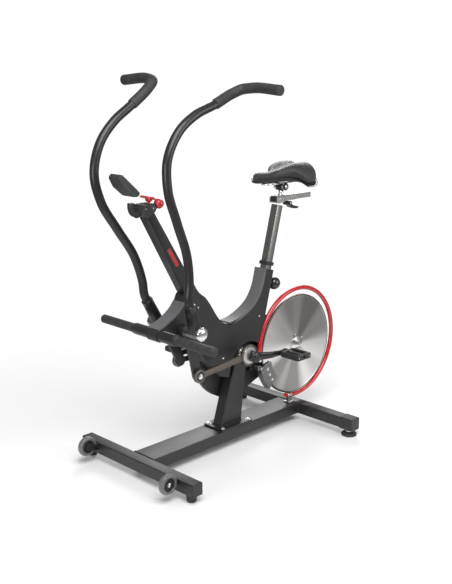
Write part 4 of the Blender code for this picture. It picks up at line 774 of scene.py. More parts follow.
FOOT_RUBBER = Rubber("foot_rubber", "rubber", (0.020, 0.020, 0.020), 0.78)
BAR_RUBBER = Rubber("bar_rubber", "rubber", (0.022, 0.022, 0.023), 0.62, RubberPattern.STIPPLED)
GRIP_RUBBER = Rubber("grip_rubber", "rubber", (0.019, 0.019, 0.020), 0.60, RubberPattern.STIPPLED)
BELT_RUBBER = Rubber("belt_rubber", "rubber", (0.015, 0.015, 0.015), 0.75,
                     RubberPattern.RIBBED)
TYRE_GREY = SoftTyre("tyre_grey", "clear_tyre", (0.085, 0.085, 0.088), 0.36)
CHROME = Brushed("chrome", "chrome", (0.80, 0.80, 0.81), 0.09, (1.0, 1.0, 1.0), 300.0, 0.000008,
                 0.08)
ZINC = Brushed("zinc", "satin_silver", (0.62, 0.62, 0.60), 0.26, (1.0, 1.0, 1.0), 500.0,
               0.00002, 0.18)
POST_GREY = Brushed("post_grey", "satin_silver", (0.235, 0.230, 0.218), 0.36)
RAIL_SILVER = Brushed("rail_silver", "satin_silver", (0.56, 0.56, 0.54), 0.28,
                      (1.0, 0.04, 1.0))
HEAD_SILVER = Brushed("head_silver", "satin_silver", (0.50, 0.50, 0.49), 0.34,
                      (1.0, 0.04, 1.0))
ROD_STEEL = Forged("rod_steel", "forged_steel", (0.165, 0.140, 0.122), 0.36)
BRAKE_STEEL = Forged("brake_steel", "black_paint", (0.20, 0.20, 0.205), 0.42)
SEAT_VINYL = Vinyl("seat_vinyl", "vinyl", (0.010, 0.010, 0.0105), 0.42)


# ---------------------------------------------------------------- shared small hardware

@dataclass(frozen=True)
class Bolt:
    """A hexagon-head bolt, or a round socket-head screw where `socket` is set."""

    radius: float = 0.0065
    height: float = 0.0045
    socket: bool = False

    def shape(self, place: Place, toward: Place) -> Surface:
        """The head, with its washer, on a face.

        Args:
            place: the centre of its seat.
            toward: the way that its head faces.

        Returns:
            The head's surface.
        """
        r, h = self.radius, self.height
        if self.socket:
            cup = [(0.0, 0.0), (0.0, r), (h * 0.75, r), (h, r * 0.86), (h, r * 0.48),
                   (h * 0.45, r * 0.48), (h * 0.45, 0.0)]
            return aimed(cup, place, toward, 24)
        washer = aimed([(0.0, 0.0), (0.0, r * 1.45), (h * 0.22, r * 1.45), (h * 0.22, 0.0)],
                       place, toward, 28)
        head = aimed([(h * 0.2, 0.0), (h * 0.2, r), (h * 0.85, r), (h, r * 0.84), (h, 0.0)],
                     place, toward, 6)
        return washer + head


def weld(path: Sequence[Place], radius: float = 0.0032) -> Surface:
    """A weld bead along a path: a tube whose radius ripples every few millimetres."""
    points = np.array(path, float)
    lengths = np.linalg.norm(np.diff(points, axis=0), axis=1)
    along = np.concatenate(([0.0], np.cumsum(lengths)))
    fine = np.arange(0.0, along[-1], 0.0012)
    line = np.column_stack([np.interp(fine, along, points[:, axis]) for axis in range(3)])
    return carried(line, radius * (1 + 0.16 * np.sin(fine * 2 * pi / 0.0052)), 8)


# ---------------------------------------------------------------- base

@dataclass
class Base:
    """Cross tubes, beam, end caps, feet, transport wheels and the upright post."""

    shop: Shop
    tube_bottom: float = 0.031
    tube_top: float = 0.081
    tube_depth: float = 0.051
    front_half: float = 0.332
    rear_half: float = 0.3625
    beam_length: float = 0.869
    beam_half: float = 0.059
    corner: float = 0.0045
    wheel_x: float = 0.247
    wheel_y: float = -0.094
    wheel_z: float = 0.073
    wheel_radius: float = 0.041
    crank_y: float = 0.532
    crank_z: float = 0.390

    def oblong(self, low: float, high: float) -> list[Pair]:
        """A tube's rounded section between two places along Y or X."""
        z0, z1 = self.tube_bottom, self.tube_top
        return filleted([(low, z0), (high, z0), (high, z1), (low, z1)], self.corner, 6)

    def tubes(self) -> None:
        """Two cross tubes and the wide beam, butted and welded."""
        z0, z1, depth = self.tube_bottom, self.tube_top, self.tube_depth
        back = self.beam_length + depth
        corner = self.corner
        front = slab(self.oblong(-depth, 0.0), -self.front_half, self.front_half)
        rear = slab(self.oblong(self.beam_length, back), -self.rear_half, self.rear_half)
        half = self.beam_half
        beam = slab(self.oblong(-half, half), -0.004, self.beam_length + 0.004)
        beam = beam.turned(Matrix.Rotation(pi / 2, 4, "Z"))
        beam.points[:, 0] *= -1.0
        beads = weld([(-half - 0.001, 0.0012, z0 + corner), (-half - 0.001, 0.0012, z1 - corner),
                      (-half + corner, 0.0012, z1), (half - corner, 0.0012, z1),
                      (half + 0.001, 0.0012, z1 - corner), (half + 0.001, 0.0012, z0 + corner)])
        tail = Surface(beads.points * np.array((1, -1, 1)) + np.array((0, self.beam_length, 0)),
                       beads.faces)
        self.shop.build("base_tubes", front + rear + beam + beads + tail, FRAME_BLACK, "frame",
                        ["base_frame"], sharp=50.0)

    def caps(self) -> None:
        """Flush caps in front, and raised sleeves behind."""
        z0, z1 = self.tube_bottom, self.tube_top
        for side, prefix in SIDES:
            x0 = side * (self.front_half + 0.0003)
            x1 = x0 + side * 0.003
            flat = filleted([(-self.tube_depth, z0), (0.0, z0), (0.0, z1),
                             (-self.tube_depth, z1)], self.corner, 6)
            self.shop.build(f"{prefix}_front_cap", slab(flat, x0, x1), CAP_BLACK, "frame",
                            [f"{prefix}_front_end_cap"], bevel=0.0010)
            proud = 0.003
            low, high = self.beam_length - proud, self.beam_length + self.tube_depth + proud
            flat = filleted([(low, z0 - proud), (high, z0 - proud), (high, z1 + proud),
                             (low, z1 + proud)], 0.0085, 8)
            x0 = side * (self.rear_half - 0.064)
            x1 = side * (self.rear_half + 0.0033)
            self.shop.build(f"{prefix}_rear_cap", slab(flat, x0, x1), CAP_BLACK, "frame",
                            [f"{prefix}_rear_end_cap"], bevel=0.0022)

    def feet(self) -> None:
        """Tapered front feet, and wide disc feet with a neck behind."""
        top = self.tube_bottom
        for side, prefix in SIDES:
            x = side * (self.front_half - 0.030)
            y = -self.tube_depth / 2
            profile = [(0.0, 0.0), (0.0, 0.0155), (0.0012, 0.0172), (0.004, 0.0182),
                       (0.011, 0.0192), (0.0115, 0.0184), (0.0135, 0.0184), (0.014, 0.0196),
                       (0.022, 0.0208), (top - 0.003, 0.0218), (top, 0.0205), (top, 0.0)]
            self.shop.build(f"{prefix}_front_pad", stood(profile, x, y), FOOT_RUBBER, "frame",
                            [f"{prefix}_front_foot"])
            x = side * (self.rear_half - 0.030)
            y = self.beam_length + self.tube_depth / 2
            profile = [(0.0, 0.0), (0.0, 0.0305), (0.0014, 0.0330), (0.0040, 0.0338),
                       (0.0085, 0.0338), (0.0108, 0.0322), (0.0122, 0.0270), (0.0136, 0.0160),
                       (0.0165, 0.0128), (top - 0.0035, 0.0122), (top - 0.003, 0.0)]
            self.shop.build(f"{prefix}_rear_pad", stood(profile, x, y), FOOT_RUBBER, "frame",
                            [f"{prefix}_rear_foot"])
            nut = aimed([(0.0, 0.0), (0.0, 0.0170), (0.0050, 0.0170), (0.0050, 0.0)],
                        (x, y, top - 0.0130), (0, 0, 1), 6)
            self.shop.build(f"{prefix}_rear_lock_nut", nut, ZINC, "frame", bevel=0.0006)

    def wheels(self) -> None:
        """Clear tyres on black ribbed hubs, each on a welded tongue with a bolt."""
        r = self.wheel_radius
        centre = (self.wheel_y, self.wheel_z)
        for side, prefix in SIDES:
            x = self.wheel_x
            tyre = [(x - 0.0095, 0.0262), (x - 0.0118, 0.0280), (x - 0.0120, r - 0.0085),
                    (x - 0.0108, r - 0.0042), (x - 0.0070, r - 0.0010), (x, r),
                    (x + 0.0070, r - 0.0010), (x + 0.0108, r - 0.0042), (x + 0.0120, r - 0.0085),
                    (x + 0.0118, 0.0280), (x + 0.0095, 0.0262), (x - 0.0095, 0.0262)]
            self.shop.build(f"{prefix}_tyre", lathe(tyre, centre, 80).mirrored(side), TYRE_GREY,
                            f"{prefix}_caster", [f"{prefix}_transport_wheel"])
            hub = [(x - 0.0100, 0.0), (x - 0.0100, 0.0130), (x - 0.0070, 0.0140),
                   (x - 0.0070, 0.0235), (x - 0.0098, 0.0246), (x - 0.0098, 0.0261),
                   (x + 0.0098, 0.0261), (x + 0.0098, 0.0246), (x + 0.0070, 0.0235),
                   (x + 0.0070, 0.0140), (x + 0.0100, 0.0130), (x + 0.0100, 0.0)]
            shape = lathe(hub, centre, 64)
            for spoke in range(6):
                turn = Matrix.Translation((0, *centre)) \
                    @ Matrix.Rotation(spoke * pi / 3, 4, "X")
                shape += block((x - 0.0094, -0.0014, 0.0120),
                               (x + 0.0094, 0.0014, 0.0245)).turned(turn)
            self.shop.build(f"{prefix}_wheel_hub", shape.mirrored(side), CAP_BLACK,
                            f"{prefix}_caster")
            bolt = Bolt(0.0062, 0.0042).shape((x + 0.0102, *centre), (1, 0, 0))
            self.shop.build(f"{prefix}_wheel_bolt", bolt.mirrored(side), CHROME,
                            f"{prefix}_caster", bevel=0.0004)
            tail = -self.tube_depth + 0.001
            outline = [(tail, self.wheel_z - 0.024), (tail, self.tube_top - 0.004)]
            outline += arc(centre, 0.014, 90.0, 270.0)
            plate = slab(outline, x - 0.0203, x - 0.0123)
            self.shop.build(f"{prefix}_wheel_tongue", plate.mirrored(side), FRAME_BLACK, "frame",
                            [f"{prefix}_wheel_bracket"], bevel=0.0010)

    def upright(self) -> None:
        """The tapered post on its bolted plate, with the crank's bearing shell on top."""
        half, base = 0.027, self.tube_top + 0.0003
        plate_top = base + 0.008
        axis = (self.crank_y, self.crank_z)
        sides = [(0.406, plate_top - 0.001), (0.528, plate_top - 0.001)]
        post = slab(sides + arc(axis, 0.030, 5.0, 160.0, 20), -half, half)
        self.shop.build("post_body", post, FRAME_BLACK, "frame", ["upright_post"], bevel=0.0045,
                        segments=4)
        plate = filleted([(-0.058, 0.383), (0.058, 0.383), (0.058, 0.565), (-0.058, 0.565)],
                         0.006, 5)
        flat = slab(plate, 0.0, 0.008)
        flat.points = flat.points[:, [1, 2, 0]] + np.array((0.0, 0.0, base))
        bead = weld([(-half, 0.404, plate_top), (half, 0.404, plate_top),
                     (half, 0.530, plate_top), (-half, 0.530, plate_top),
                     (-half, 0.404, plate_top)])
        self.shop.build("post_plate", flat + bead, FRAME_BLACK, "frame", bevel=0.0012)
        heads = Surface(np.empty((0, 3)), [])
        for x in (-0.044, 0.044):
            for y in (0.398, 0.550):
                heads += Bolt(0.0072, 0.0056).shape((x, y, plate_top), (0, 0, 1))
        self.shop.build("post_plate_bolts", heads, ZINC, "frame", bevel=0.0005)
        shell = [(-0.0272, 0.0130), (-0.0272, 0.0255), (-0.0262, 0.0262), (0.0325, 0.0262),
                 (0.0335, 0.0252), (0.0335, 0.0130), (-0.0272, 0.0130)]
        self.shop.build("crank_shell", lathe(shell, axis), ZINC, "frame", ["crank_bearing"])

    def make(self) -> None:
        """Build the whole base."""
        self.tubes()
        self.caps()
        self.feet()
        self.wheels()
        self.upright()


# ---------------------------------------------------------------- frame

@dataclass
class StepThroughFrame:
    """Mast, the two moulded covers with their grey spine, nose, foot bar and pivot."""

    shop: Shop
    cover_half: float = 0.0283
    mast_half: float = 0.0245
    pivot: Pair = (0.183, 0.570)
    bar: Pair = (0.075, 0.564)
    bar_radius: float = 0.023
    bar_half: float = 0.120
    grip_radius: float = 0.018
    bar_end: float = 0.329

    @staticmethod
    def cover_outline() -> list[Pair]:
        """Outline of the V without its mast, anticlockwise seen from the rider's left."""
        front = [(0.209, 0.703), (0.247, 0.590), (0.262, 0.500), (0.318, 0.400),
                 (0.398, 0.318), (0.452, 0.300)]
        arch = arc((0.570, 0.325), 0.107, 165.0, 55.0, 18)
        rear = [(0.637, 0.430), (0.668, 0.500), (0.726, 0.722)]
        inside = eased([(0.0, 0.668, 0.735), (0.0, 0.660, 0.700), (0.0, 0.644, 0.652),
                        (0.0, 0.613, 0.606), (0.0, 0.584, 0.583), (0.0, 0.552, 0.566),
                        (0.0, 0.505, 0.548), (0.0, 0.462, 0.541), (0.0, 0.427, 0.541),
                        (0.0, 0.389, 0.575), (0.0, 0.346, 0.637), (0.0, 0.316, 0.674),
                        (0.0, 0.283, 0.699), (0.0, 0.247, 0.752)], 3)
        return front + arch + rear + [tuple(point) for point in inside[:, 1:].tolist()]

    def covers(self) -> None:
        """Left and right shells that meet on the plane of symmetry."""
        outline = self.cover_outline()
        for side, prefix in SIDES:
            shell = slab(outline, side * 0.0003, side * self.cover_half)
            self.shop.build(f"{prefix}_shell", shell, COVER_BLACK, "frame",
                            [f"{prefix}_frame_cover"], bevel=0.0030, sharp=32.0)
        seats = ((0.275, 0.640), (0.635, 0.534), (0.415, 0.395))
        for side, prefix in SIDES:
            heads = Surface(np.empty((0, 3)), [])
            for y, z in seats:
                heads += Bolt(0.0046, 0.0022, True).shape((side * self.cover_half, y, z),
                                                          (side, 0, 0))
            self.shop.build(f"{prefix}_cover_screws", heads, CHROME, "frame")

    def spine(self) -> None:
        """The lighter band down the rear branch and along the step, over both covers."""
        top = eased([(0.0, 0.6675, 0.737), (0.0, 0.6590, 0.700), (0.0, 0.6430, 0.6525),
                     (0.0, 0.6120, 0.6068), (0.0, 0.5835, 0.5838), (0.0, 0.5520, 0.5668),
                     (0.0, 0.5050, 0.5488), (0.0, 0.4620, 0.5418), (0.0, 0.4490, 0.5416)], 4)
        line = top[:, 1:]
        slope = np.gradient(line, axis=0)
        slope /= np.linalg.norm(slope, axis=1)[:, None]
        proud = line + np.column_stack((-slope[:, 1], slope[:, 0])) * -0.0012
        inner = line + np.column_stack((-slope[:, 1], slope[:, 0])) * 0.010
        outline = [tuple(point) for point in proud.tolist()] + [(0.4630, 0.5310)] \
            + [tuple(point) for point in inner[::-1].tolist()]
        half = self.cover_half + 0.0009
        self.shop.build("frame_spine", slab(outline, -half, half), SPINE_GREY, "frame",
                        bevel=0.0016, sharp=32.0)

    def mast(self) -> None:
        """The rising rectangular tube, tapered towards its head."""
        outline = [(0.209, 0.703), (0.022, 1.028), (0.058, 1.049), (0.247, 0.752),
                   (0.262, 0.700), (0.232, 0.680)]
        tube = slab(outline, -self.mast_half, self.mast_half)
        self.shop.build("mast_tube", tube, FRAME_BLACK, "frame", ["main_frame"], bevel=0.0060,
                        segments=5)
        along = Vector((0.058 - 0.247, 1.049 - 0.752)).normalized()
        across = Vector((-along.y, along.x))
        middle = Vector((0.1480, 0.8615))
        for side, prefix in SIDES:
            corners = [middle + along * a * 0.043 + across * b * 0.0085
                       for a, b in ((-1, -1), (1, -1), (1, 1), (-1, 1))]
            band = slab(filleted([tuple(corner) for corner in corners], 0.004),
                        side * (self.mast_half - 0.0005), side * (self.mast_half + 0.0004))
            self.shop.build(f"{prefix}_mast_stripe", band, ACCENT_RED, "frame")

    def nose(self) -> None:
        """The bracket from the mast to the foot bar, with a grey saddle on its top edge."""
        top = [(0.2086, 0.7030), (0.196, 0.676), (0.176, 0.652), (0.146, 0.629),
               (0.104, 0.607), (0.062, 0.5905)]
        wrap = arc(self.bar, self.bar_radius + 0.004, 118.0, 285.0, 18)
        body = slab(top + wrap + [(0.170, 0.525), (0.2590, 0.498), (0.2463, 0.5895)],
                    -0.030, 0.030)
        self.shop.build("nose", body, COVER_BLACK, "frame", ["nose_bracket"], bevel=0.0032,
                        sharp=32.0)
        line = eased([(0.0, *point) for point in top[1:]], 4)[:, 1:]
        slope = np.gradient(line, axis=0)
        slope /= np.linalg.norm(slope, axis=1)[:, None]
        normal = np.column_stack((slope[:, 1], -slope[:, 0]))
        outline = (line + normal * 0.0014).tolist() + (line - normal * 0.008)[::-1].tolist()
        band = slab([tuple(point) for point in outline], -0.0308, 0.0308)
        self.shop.build("nose_band", band, SPINE_GREY, "frame", bevel=0.0014, sharp=32.0)

    def foot_bar(self) -> None:
        """A thick middle tube and a slimmer rubber sleeve at each end."""
        half = self.bar_half
        middle = rounded_bar(-half, half, self.bar_radius, 0.0022)
        self.shop.build("foot_bar_middle", lathe(middle, self.bar), ARM_BLACK, "frame",
                        ["foot_bar"])
        for side, prefix in SIDES:
            start = half - 0.001
            r = self.grip_radius
            sleeve = [(start, 0.0), (start, r + 0.0024), (start + 0.004, r + 0.0028),
                      (start + 0.010, r + 0.0020), (start + 0.012, r)]
            sleeve += [(self.bar_end - 0.006 + 0.006 * sin(a), r - 0.006 + 0.006 * cos(a))
                       for a in np.linspace(0, pi / 2, 6).tolist()]
            sleeve.append((self.bar_end, 0.0))
            self.shop.build(f"{prefix}_bar_sleeve", lathe(sleeve, self.bar).mirrored(side),
                            BAR_RUBBER, "frame", [f"{prefix}_foot_grip"])

    def pivot_axle(self) -> None:
        """The cross tube that the arm levers hang on, and its domed chrome caps."""
        tube = [(-0.0612, 0.0), (-0.0612, 0.0192), (-0.0600, 0.0200), (0.0600, 0.0200),
                (0.0612, 0.0192), (0.0612, 0.0)]
        self.shop.build("pivot_sleeve", lathe(tube, self.pivot), FRAME_BLACK, "frame",
                        ["pivot_tube"])
        x = 0.1430
        dome = [(x, 0.0), (x, 0.0262), (x + 0.0010, 0.0276), (x + 0.0034, 0.0280)]
        dome += [(x + 0.0034 + 0.0128 * sin(a), 0.0276 * cos(a))
                 for a in np.linspace(0.08, pi / 2, 12).tolist()]
        caps = lathe(dome, self.pivot)
        self.shop.build("pivot_caps", caps + caps.mirrored(RIGHT), CHROME, "frame",
                        ["pivot_shaft"])

    def make(self) -> None:
        """Build the whole frame."""
        self.covers()
        self.spine()
        self.mast()
        self.nose()
        self.foot_bar()
        self.pivot_axle()


# ---------------------------------------------------------------- arm levers and rods

@dataclass
class Swing:
    """One arm lever: socket, plate, bent arm and grip, on the pivot tube."""

    shop: Shop
    side: int
    prefix: str
    pivot: Pair = (0.183, 0.570)
    arm_x: float = 0.110
    arm_radius: float = 0.0175
    sleeve_lean: float = 15.0
    sleeve_height: float = 0.118
    spread: float = 14.4
    lever_length: float = 0.196
    lever_angle: float = 11.5

    def placed(self, surface: Surface) -> Surface:
        """Carry the left arm's shape to this side and its place at rest."""
        if self.side == LEFT:
            return surface
        turn = Matrix.Translation((0, *self.pivot)) \
            @ Matrix.Rotation(radians(self.spread), 4, "X") \
            @ Matrix.Translation((0, -self.pivot[0], -self.pivot[1]))
        return surface.turned(turn).mirrored(RIGHT)

    def sleeve_point(self, along: float) -> Place:
        """A point on the socket's axis."""
        lean = radians(self.sleeve_lean)
        return (self.arm_x, self.pivot[0] - along * sin(lean), self.pivot[1] + along * cos(lean))

    def line(self) -> np.ndarray:
        """The arm's centreline: up, forwards, back over the rider, then outwards."""
        x = self.arm_x
        shape = [(0.152, 0.765), (0.141, 0.880), (0.094, 1.010), (0.050, 1.140),
                 (0.050, 1.243), (0.113, 1.350), (0.190, 1.401), (0.292, 1.437)]
        grip = [(x, 0.388, 1.476), (x + 0.013, 0.423, 1.490), (x + 0.048, 0.436, 1.495),
                (x + 0.201, 0.436, 1.489)]
        points = [self.sleeve_point(self.sleeve_height - 0.004),
                  self.sleeve_point(self.sleeve_height + 0.02)]
        return eased(points + [(x, y, z) for y, z in shape] + grip, 12)

    def arm(self) -> None:
        """The black tube, and its rubber grip with a collar where it starts."""
        line = self.line()
        start = int(np.argmin(np.abs(line[:, 1] - 0.292) + np.abs(line[:, 2] - 1.437)))
        tube = carried(line[:start + 3], self.arm_radius, 40)
        self.shop.build(f"{self.prefix}_arm_tube", self.placed(tube), ARM_BLACK,
                        f"{self.prefix}_swing", [f"{self.prefix}_arm"])
        grip = carried(line[start:], self.arm_radius + 0.0030, 40, lip=0.0040)
        self.shop.build(f"{self.prefix}_grip_sleeve", self.placed(grip), GRIP_RUBBER,
                        f"{self.prefix}_swing", [f"{self.prefix}_grip"])

    def lever(self) -> None:
        """A tapered socket with a rolled rim, the hub across the pivot, and the lower plate."""
        foot = np.array(self.sleeve_point(0.0))
        top = np.array(self.sleeve_point(self.sleeve_height))
        share = np.array((0.0, 0.25, 0.5, 0.75, 0.955, 0.97, 1.0))[:, None]
        radii = np.array((0.0255, 0.0248, 0.0240, 0.0232, 0.0226, 0.0238, 0.0238))
        socket = carried(foot + (top - foot) * share, radii, 56)
        rim = carried(top + np.array(((0.0, 0.0, -0.0004), (0.0, -0.0006, 0.0022))),
                      np.array((0.0236, 0.0205)), 56)
        hub = lathe([(0.062, 0.0), (0.062, 0.0245), (0.0632, 0.0260), (0.1408, 0.0260),
                     (0.142, 0.0248), (0.142, 0.0)], self.pivot)
        eye_angle = radians(self.lever_angle)
        eye = (self.pivot[0] + self.lever_length * sin(eye_angle),
               self.pivot[1] - self.lever_length * cos(eye_angle))
        plate = slab(belt_line(self.pivot, eye, 0.0250, 0.0200), 0.066, 0.080)
        self.shop.build(f"{self.prefix}_socket", self.placed(socket + rim), ARM_BLACK,
                        f"{self.prefix}_swing", [f"{self.prefix}_lever"], sharp=50.0)
        self.shop.build(f"{self.prefix}_hub", self.placed(hub), BRAKE_STEEL,
                        f"{self.prefix}_swing")
        self.shop.build(f"{self.prefix}_lever_plate", self.placed(plate), FRAME_BLACK,
                        f"{self.prefix}_swing", bevel=0.0016)

    def make(self) -> None:
        """Build the lever and its arm."""
        self.arm()
        self.lever()


@dataclass
class Link:
    """One connecting rod: forged bar, ringed front eye, big end and bolt."""

    shop: Shop
    side: int
    prefix: str
    front: Pair = (0.0, 0.0)
    rear: Pair = (0.0, 0.0)
    inner_x: float = 0.0805
    outer_x: float = 0.0955

    def strip(self, half: float, from_start: float, from_end: float,
              offset: float = 0.0) -> list[Pair]:
        """A long outline between the two eyes.

        Args:
            half: half its width at the front; it is slightly wider at the rear.
            from_start: where it begins, from the front eye's centre.
            from_end: where it ends, from the rear eye's centre.
            offset: how far it lies to one side of the line between the eyes.

        Returns:
            Its four corners.
        """
        start, end = Vector(self.front), Vector(self.rear)
        ahead = (end - start).normalized()
        across = Vector((-ahead.y, ahead.x))
        a = start + ahead * from_start + across * offset
        b = end - ahead * from_end + across * offset
        return [tuple(a - across * half), tuple(b - across * half * 1.15),
                tuple(b + across * half * 1.15), tuple(a + across * half)]

    def make(self) -> None:
        """An I-section bar between two round eyes, with a bright ring and a chrome bolt."""
        x0, x1 = self.inner_x, self.outer_x
        web = slab(self.strip(0.0085, 0.010, 0.020), x0 + 0.005, x1 - 0.0045)
        bar = slab(self.strip(0.0118, 0.018, 0.030), x0 + 0.0022, x0 + 0.006)
        ribs = slab(self.strip(0.0022, 0.020, 0.034, 0.0098), x0 + 0.0024, x1 - 0.0022)
        ribs += slab(self.strip(0.0022, 0.020, 0.034, -0.0098), x0 + 0.0024, x1 - 0.0022)
        small = lathe([(x0, 0.0), (x0, 0.0270), (x0 + 0.001, 0.0280), (x1 - 0.001, 0.0280),
                       (x1, 0.0270), (x1, 0.0195), (x1 - 0.003, 0.0190), (x1 - 0.003, 0.0)],
                      self.front, 80)
        big = lathe([(x0, 0.0360), (x0, 0.0445), (x0 + 0.001, 0.0455), (x1 - 0.001, 0.0455),
                     (x1, 0.0445), (x1, 0.0385), (x1 - 0.002, 0.0380), (x1 - 0.002, 0.0360),
                     (x0, 0.0360)], self.rear, 88)
        body = f"{self.prefix}_link"
        shape = (web + bar + ribs).mirrored(self.side)
        self.shop.build(f"{self.prefix}_rod_bar", shape, ROD_STEEL, body,
                        [f"{self.prefix}_rod"], bevel=0.0011)
        self.shop.build(f"{self.prefix}_rod_eyes", (small + big).mirrored(self.side), ROD_STEEL,
                        body, sharp=50.0)
        ring = lathe([(x1 - 0.0034, 0.0135), (x1 + 0.0004, 0.0140), (x1 + 0.0006, 0.0150),
                      (x1 + 0.0006, 0.0186), (x1 - 0.0004, 0.0192), (x1 - 0.0034, 0.0194),
                      (x1 - 0.0034, 0.0135)], self.front, 72)
        self.shop.build(f"{self.prefix}_rod_ring", ring.mirrored(self.side), CAP_BLACK, body)
        bolt = lathe([(x1 - 0.004, 0.0), (x1 - 0.004, 0.0118), (x1 + 0.0010, 0.0118),
                      (x1 + 0.0016, 0.0095), (x1 + 0.0040, 0.0090), (x1 + 0.0050, 0.0076),
                      (x1 + 0.0050, 0.0042), (x1 + 0.0028, 0.0040), (x1 + 0.0028, 0.0)],
                     self.front, 56)
        self.shop.build(f"{self.prefix}_rod_bolt", bolt.mirrored(self.side), CHROME, body)


# ---------------------------------------------------------------- cranks and pedals

@dataclass
class Cranks:
    """Bowed gloss cranks with their eccentrics, axle caps and cage pedals."""

    shop: Shop
    axis: Pair = (0.532, 0.390)
    length: float = 0.170
    rest: float = -3.7
    inner_x: float = 0.097
    thickness: float = 0.020
    bow: float = 0.014
    pedal_inner: float = 0.133
    pedal_length: float = 0.096
    pedal_width: float = 0.088

    def pedal_centre(self, side: int) -> Pair:
        """Where a pedal's spindle crosses the crank's plane at rest."""
        turn = radians(self.rest)
        return (self.axis[0] + side * self.length * cos(turn),
                self.axis[1] + side * self.length * sin(turn))

    def crank(self, side: int, prefix: str) -> None:
        """A superellipse section carried from boss to eye while it steps outwards."""
        y, z = self.pedal_centre(side)
        start, end = np.array(self.axis), np.array((y, z))
        ahead = (end - start) / self.length
        across = np.array((-ahead[1], ahead[0]))
        t = np.linspace(0.0, 1.0, 33)
        step = np.clip((t - 0.10) / 0.42, 0.0, 1.0)
        shift = self.bow * step * step * (3 - 2 * step)
        wide = 0.0190 - 0.0072 * np.clip(t / 0.75, 0, 1) ** 0.8
        thick = 0.0086 - 0.0014 * np.clip(t / 0.8, 0, 1)
        turn = np.linspace(0.0, 2 * pi, 36, endpoint=False)
        c, s = np.cos(turn), np.sin(turn)
        flat_x = np.sign(c) * np.abs(c) ** 0.55
        flat_w = np.sign(s) * np.abs(s) ** 0.8
        place = start + (end - start) * t[:, None]
        x = self.inner_x + self.thickness / 2 + shift[:, None] + thick[:, None] * flat_x
        wing = wide[:, None] * flat_w
        grid = np.stack((x, place[:, :1] + wing * across[0], place[:, 1:] + wing * across[1]), -1)
        web = Surface(grid.reshape(-1, 3), net(len(t), len(turn)))
        x0, x1 = self.inner_x, self.inner_x + self.thickness
        boss = lathe([(x0, 0.0), (x0, 0.0228), (x0 + 0.0012, 0.0240), (x1 - 0.0030, 0.0240),
                      (x1, 0.0212), (x1, 0.0)], self.axis)
        e0, e1 = x0 + self.bow, x1 + self.bow
        eye = lathe([(e0, 0.0), (e0, 0.0138), (e0 + 0.0012, 0.0150), (e1 - 0.0020, 0.0150),
                     (e1, 0.0132), (e1, 0.0)], (y, z), 56)
        flip = Surface((web + boss + eye).points * np.array((side, 1, 1)),
                       (web + boss + eye).faces)
        self.shop.build(f"{prefix}_crank_arm", flip, CRANK_BLACK, "crankset",
                        [f"{prefix}_crank"], sharp=55.0)
        tip = self.pedal_inner + self.pedal_length
        spindle = lathe([(e0 - 0.0025, 0.0), (e0 - 0.0025, 0.0080), (e0, 0.0080), (e1, 0.0080),
                         (e1 + 0.0016, 0.0074), (tip - 0.014, 0.0064), (tip - 0.014, 0.0)],
                        (y, z), 40)
        self.shop.build(f"{prefix}_spindle", spindle.mirrored(side), ZINC, "crankset")
        nut = lathe([(x1 - 0.001, 0.0), (x1 - 0.001, 0.0135), (x1 + 0.0010, 0.0138),
                     (x1 + 0.0036, 0.0120), (x1 + 0.0044, 0.0080), (x1 + 0.0030, 0.0062),
                     (x1 + 0.0030, 0.0)], self.axis, 56)
        self.shop.build(f"{prefix}_axle_cap", nut.mirrored(side), CAP_BLACK, "crankset")

    def pedal(self, side: int, prefix: str) -> None:
        """A cage: outer rails with studs, a centre barrel, and reflective end bolts."""
        y, z = self.pedal_centre(side)
        x0, x1 = self.pedal_inner, self.pedal_inner + self.pedal_length
        half, high = self.pedal_width / 2, 0.013
        rail = [(half, 0.0), (half - 0.003, high - 0.003), (half - 0.008, high),
                (half - 0.0125, high - 0.003), (half - 0.0125, -high + 0.003),
                (half - 0.008, -high), (half - 0.003, -high + 0.003)]
        shape = Surface(np.empty((0, 3)), [])
        for sign in (1, -1):
            shape += slab([(y + sign * a, z + b) for a, b in rail], x0, x1)
            for x in (x0, x1 - 0.012):
                shape += block((x, min(y, y + sign * (half - 0.009)), z - high + 0.001),
                               (x + 0.012, max(y, y + sign * (half - 0.009)), z + high - 0.001))
            for share in (0.22, 0.41, 0.59, 0.78):
                x = x0 + (x1 - x0) * share
                centre = y + sign * (half - 0.008)
                for tip in (1, -1):
                    shape += aimed([(0.0, 0.0), (0.0, 0.0022), (0.0014, 0.0018), (0.0014, 0.0)],
                                   (x, centre, z + tip * (high - 0.0008)), (0, 0, tip), 10)
        barrel = lathe([(x0, 0.0), (x0, 0.0105), (x0 + 0.002, 0.0120), (x1 - 0.008, 0.0110),
                        (x1 - 0.002, 0.0090), (x1, 0.0070), (x1, 0.0)], (y, z), 40)
        self.shop.build(f"{prefix}_pedal_cage", (shape + barrel).mirrored(side), PEDAL_BLACK,
                        f"{prefix}_tread", [f"{prefix}_pedal"], bevel=0.0011)
        ends = Surface(np.empty((0, 3)), [])
        for offset in (-half + 0.012, half - 0.012):
            ends += Bolt(0.0026, 0.0012, True).shape((x1, y + offset, z), (1, 0, 0))
        self.shop.build(f"{prefix}_pedal_bolts", ends.mirrored(side), CHROME, f"{prefix}_tread")

    def axle(self) -> None:
        """The axle with an eccentric inside each rod's big end."""
        turn = radians(155.0)
        shape = lathe(rounded_bar(-0.0965, 0.0965, 0.0088), self.axis, 40)
        for side in (1, -1):
            centre = (self.axis[0] + side * 0.026 * cos(turn),
                      self.axis[1] + side * 0.026 * sin(turn))
            disc = lathe([(0.0810, 0.0), (0.0810, 0.0368), (0.0818, 0.0374), (0.0942, 0.0374),
                          (0.0950, 0.0366), (0.0950, 0.0)], centre, 80)
            shape += disc.mirrored(side)
        self.shop.build("axle_and_eccentrics", shape, ZINC, "crankset", ["crank_axle"])

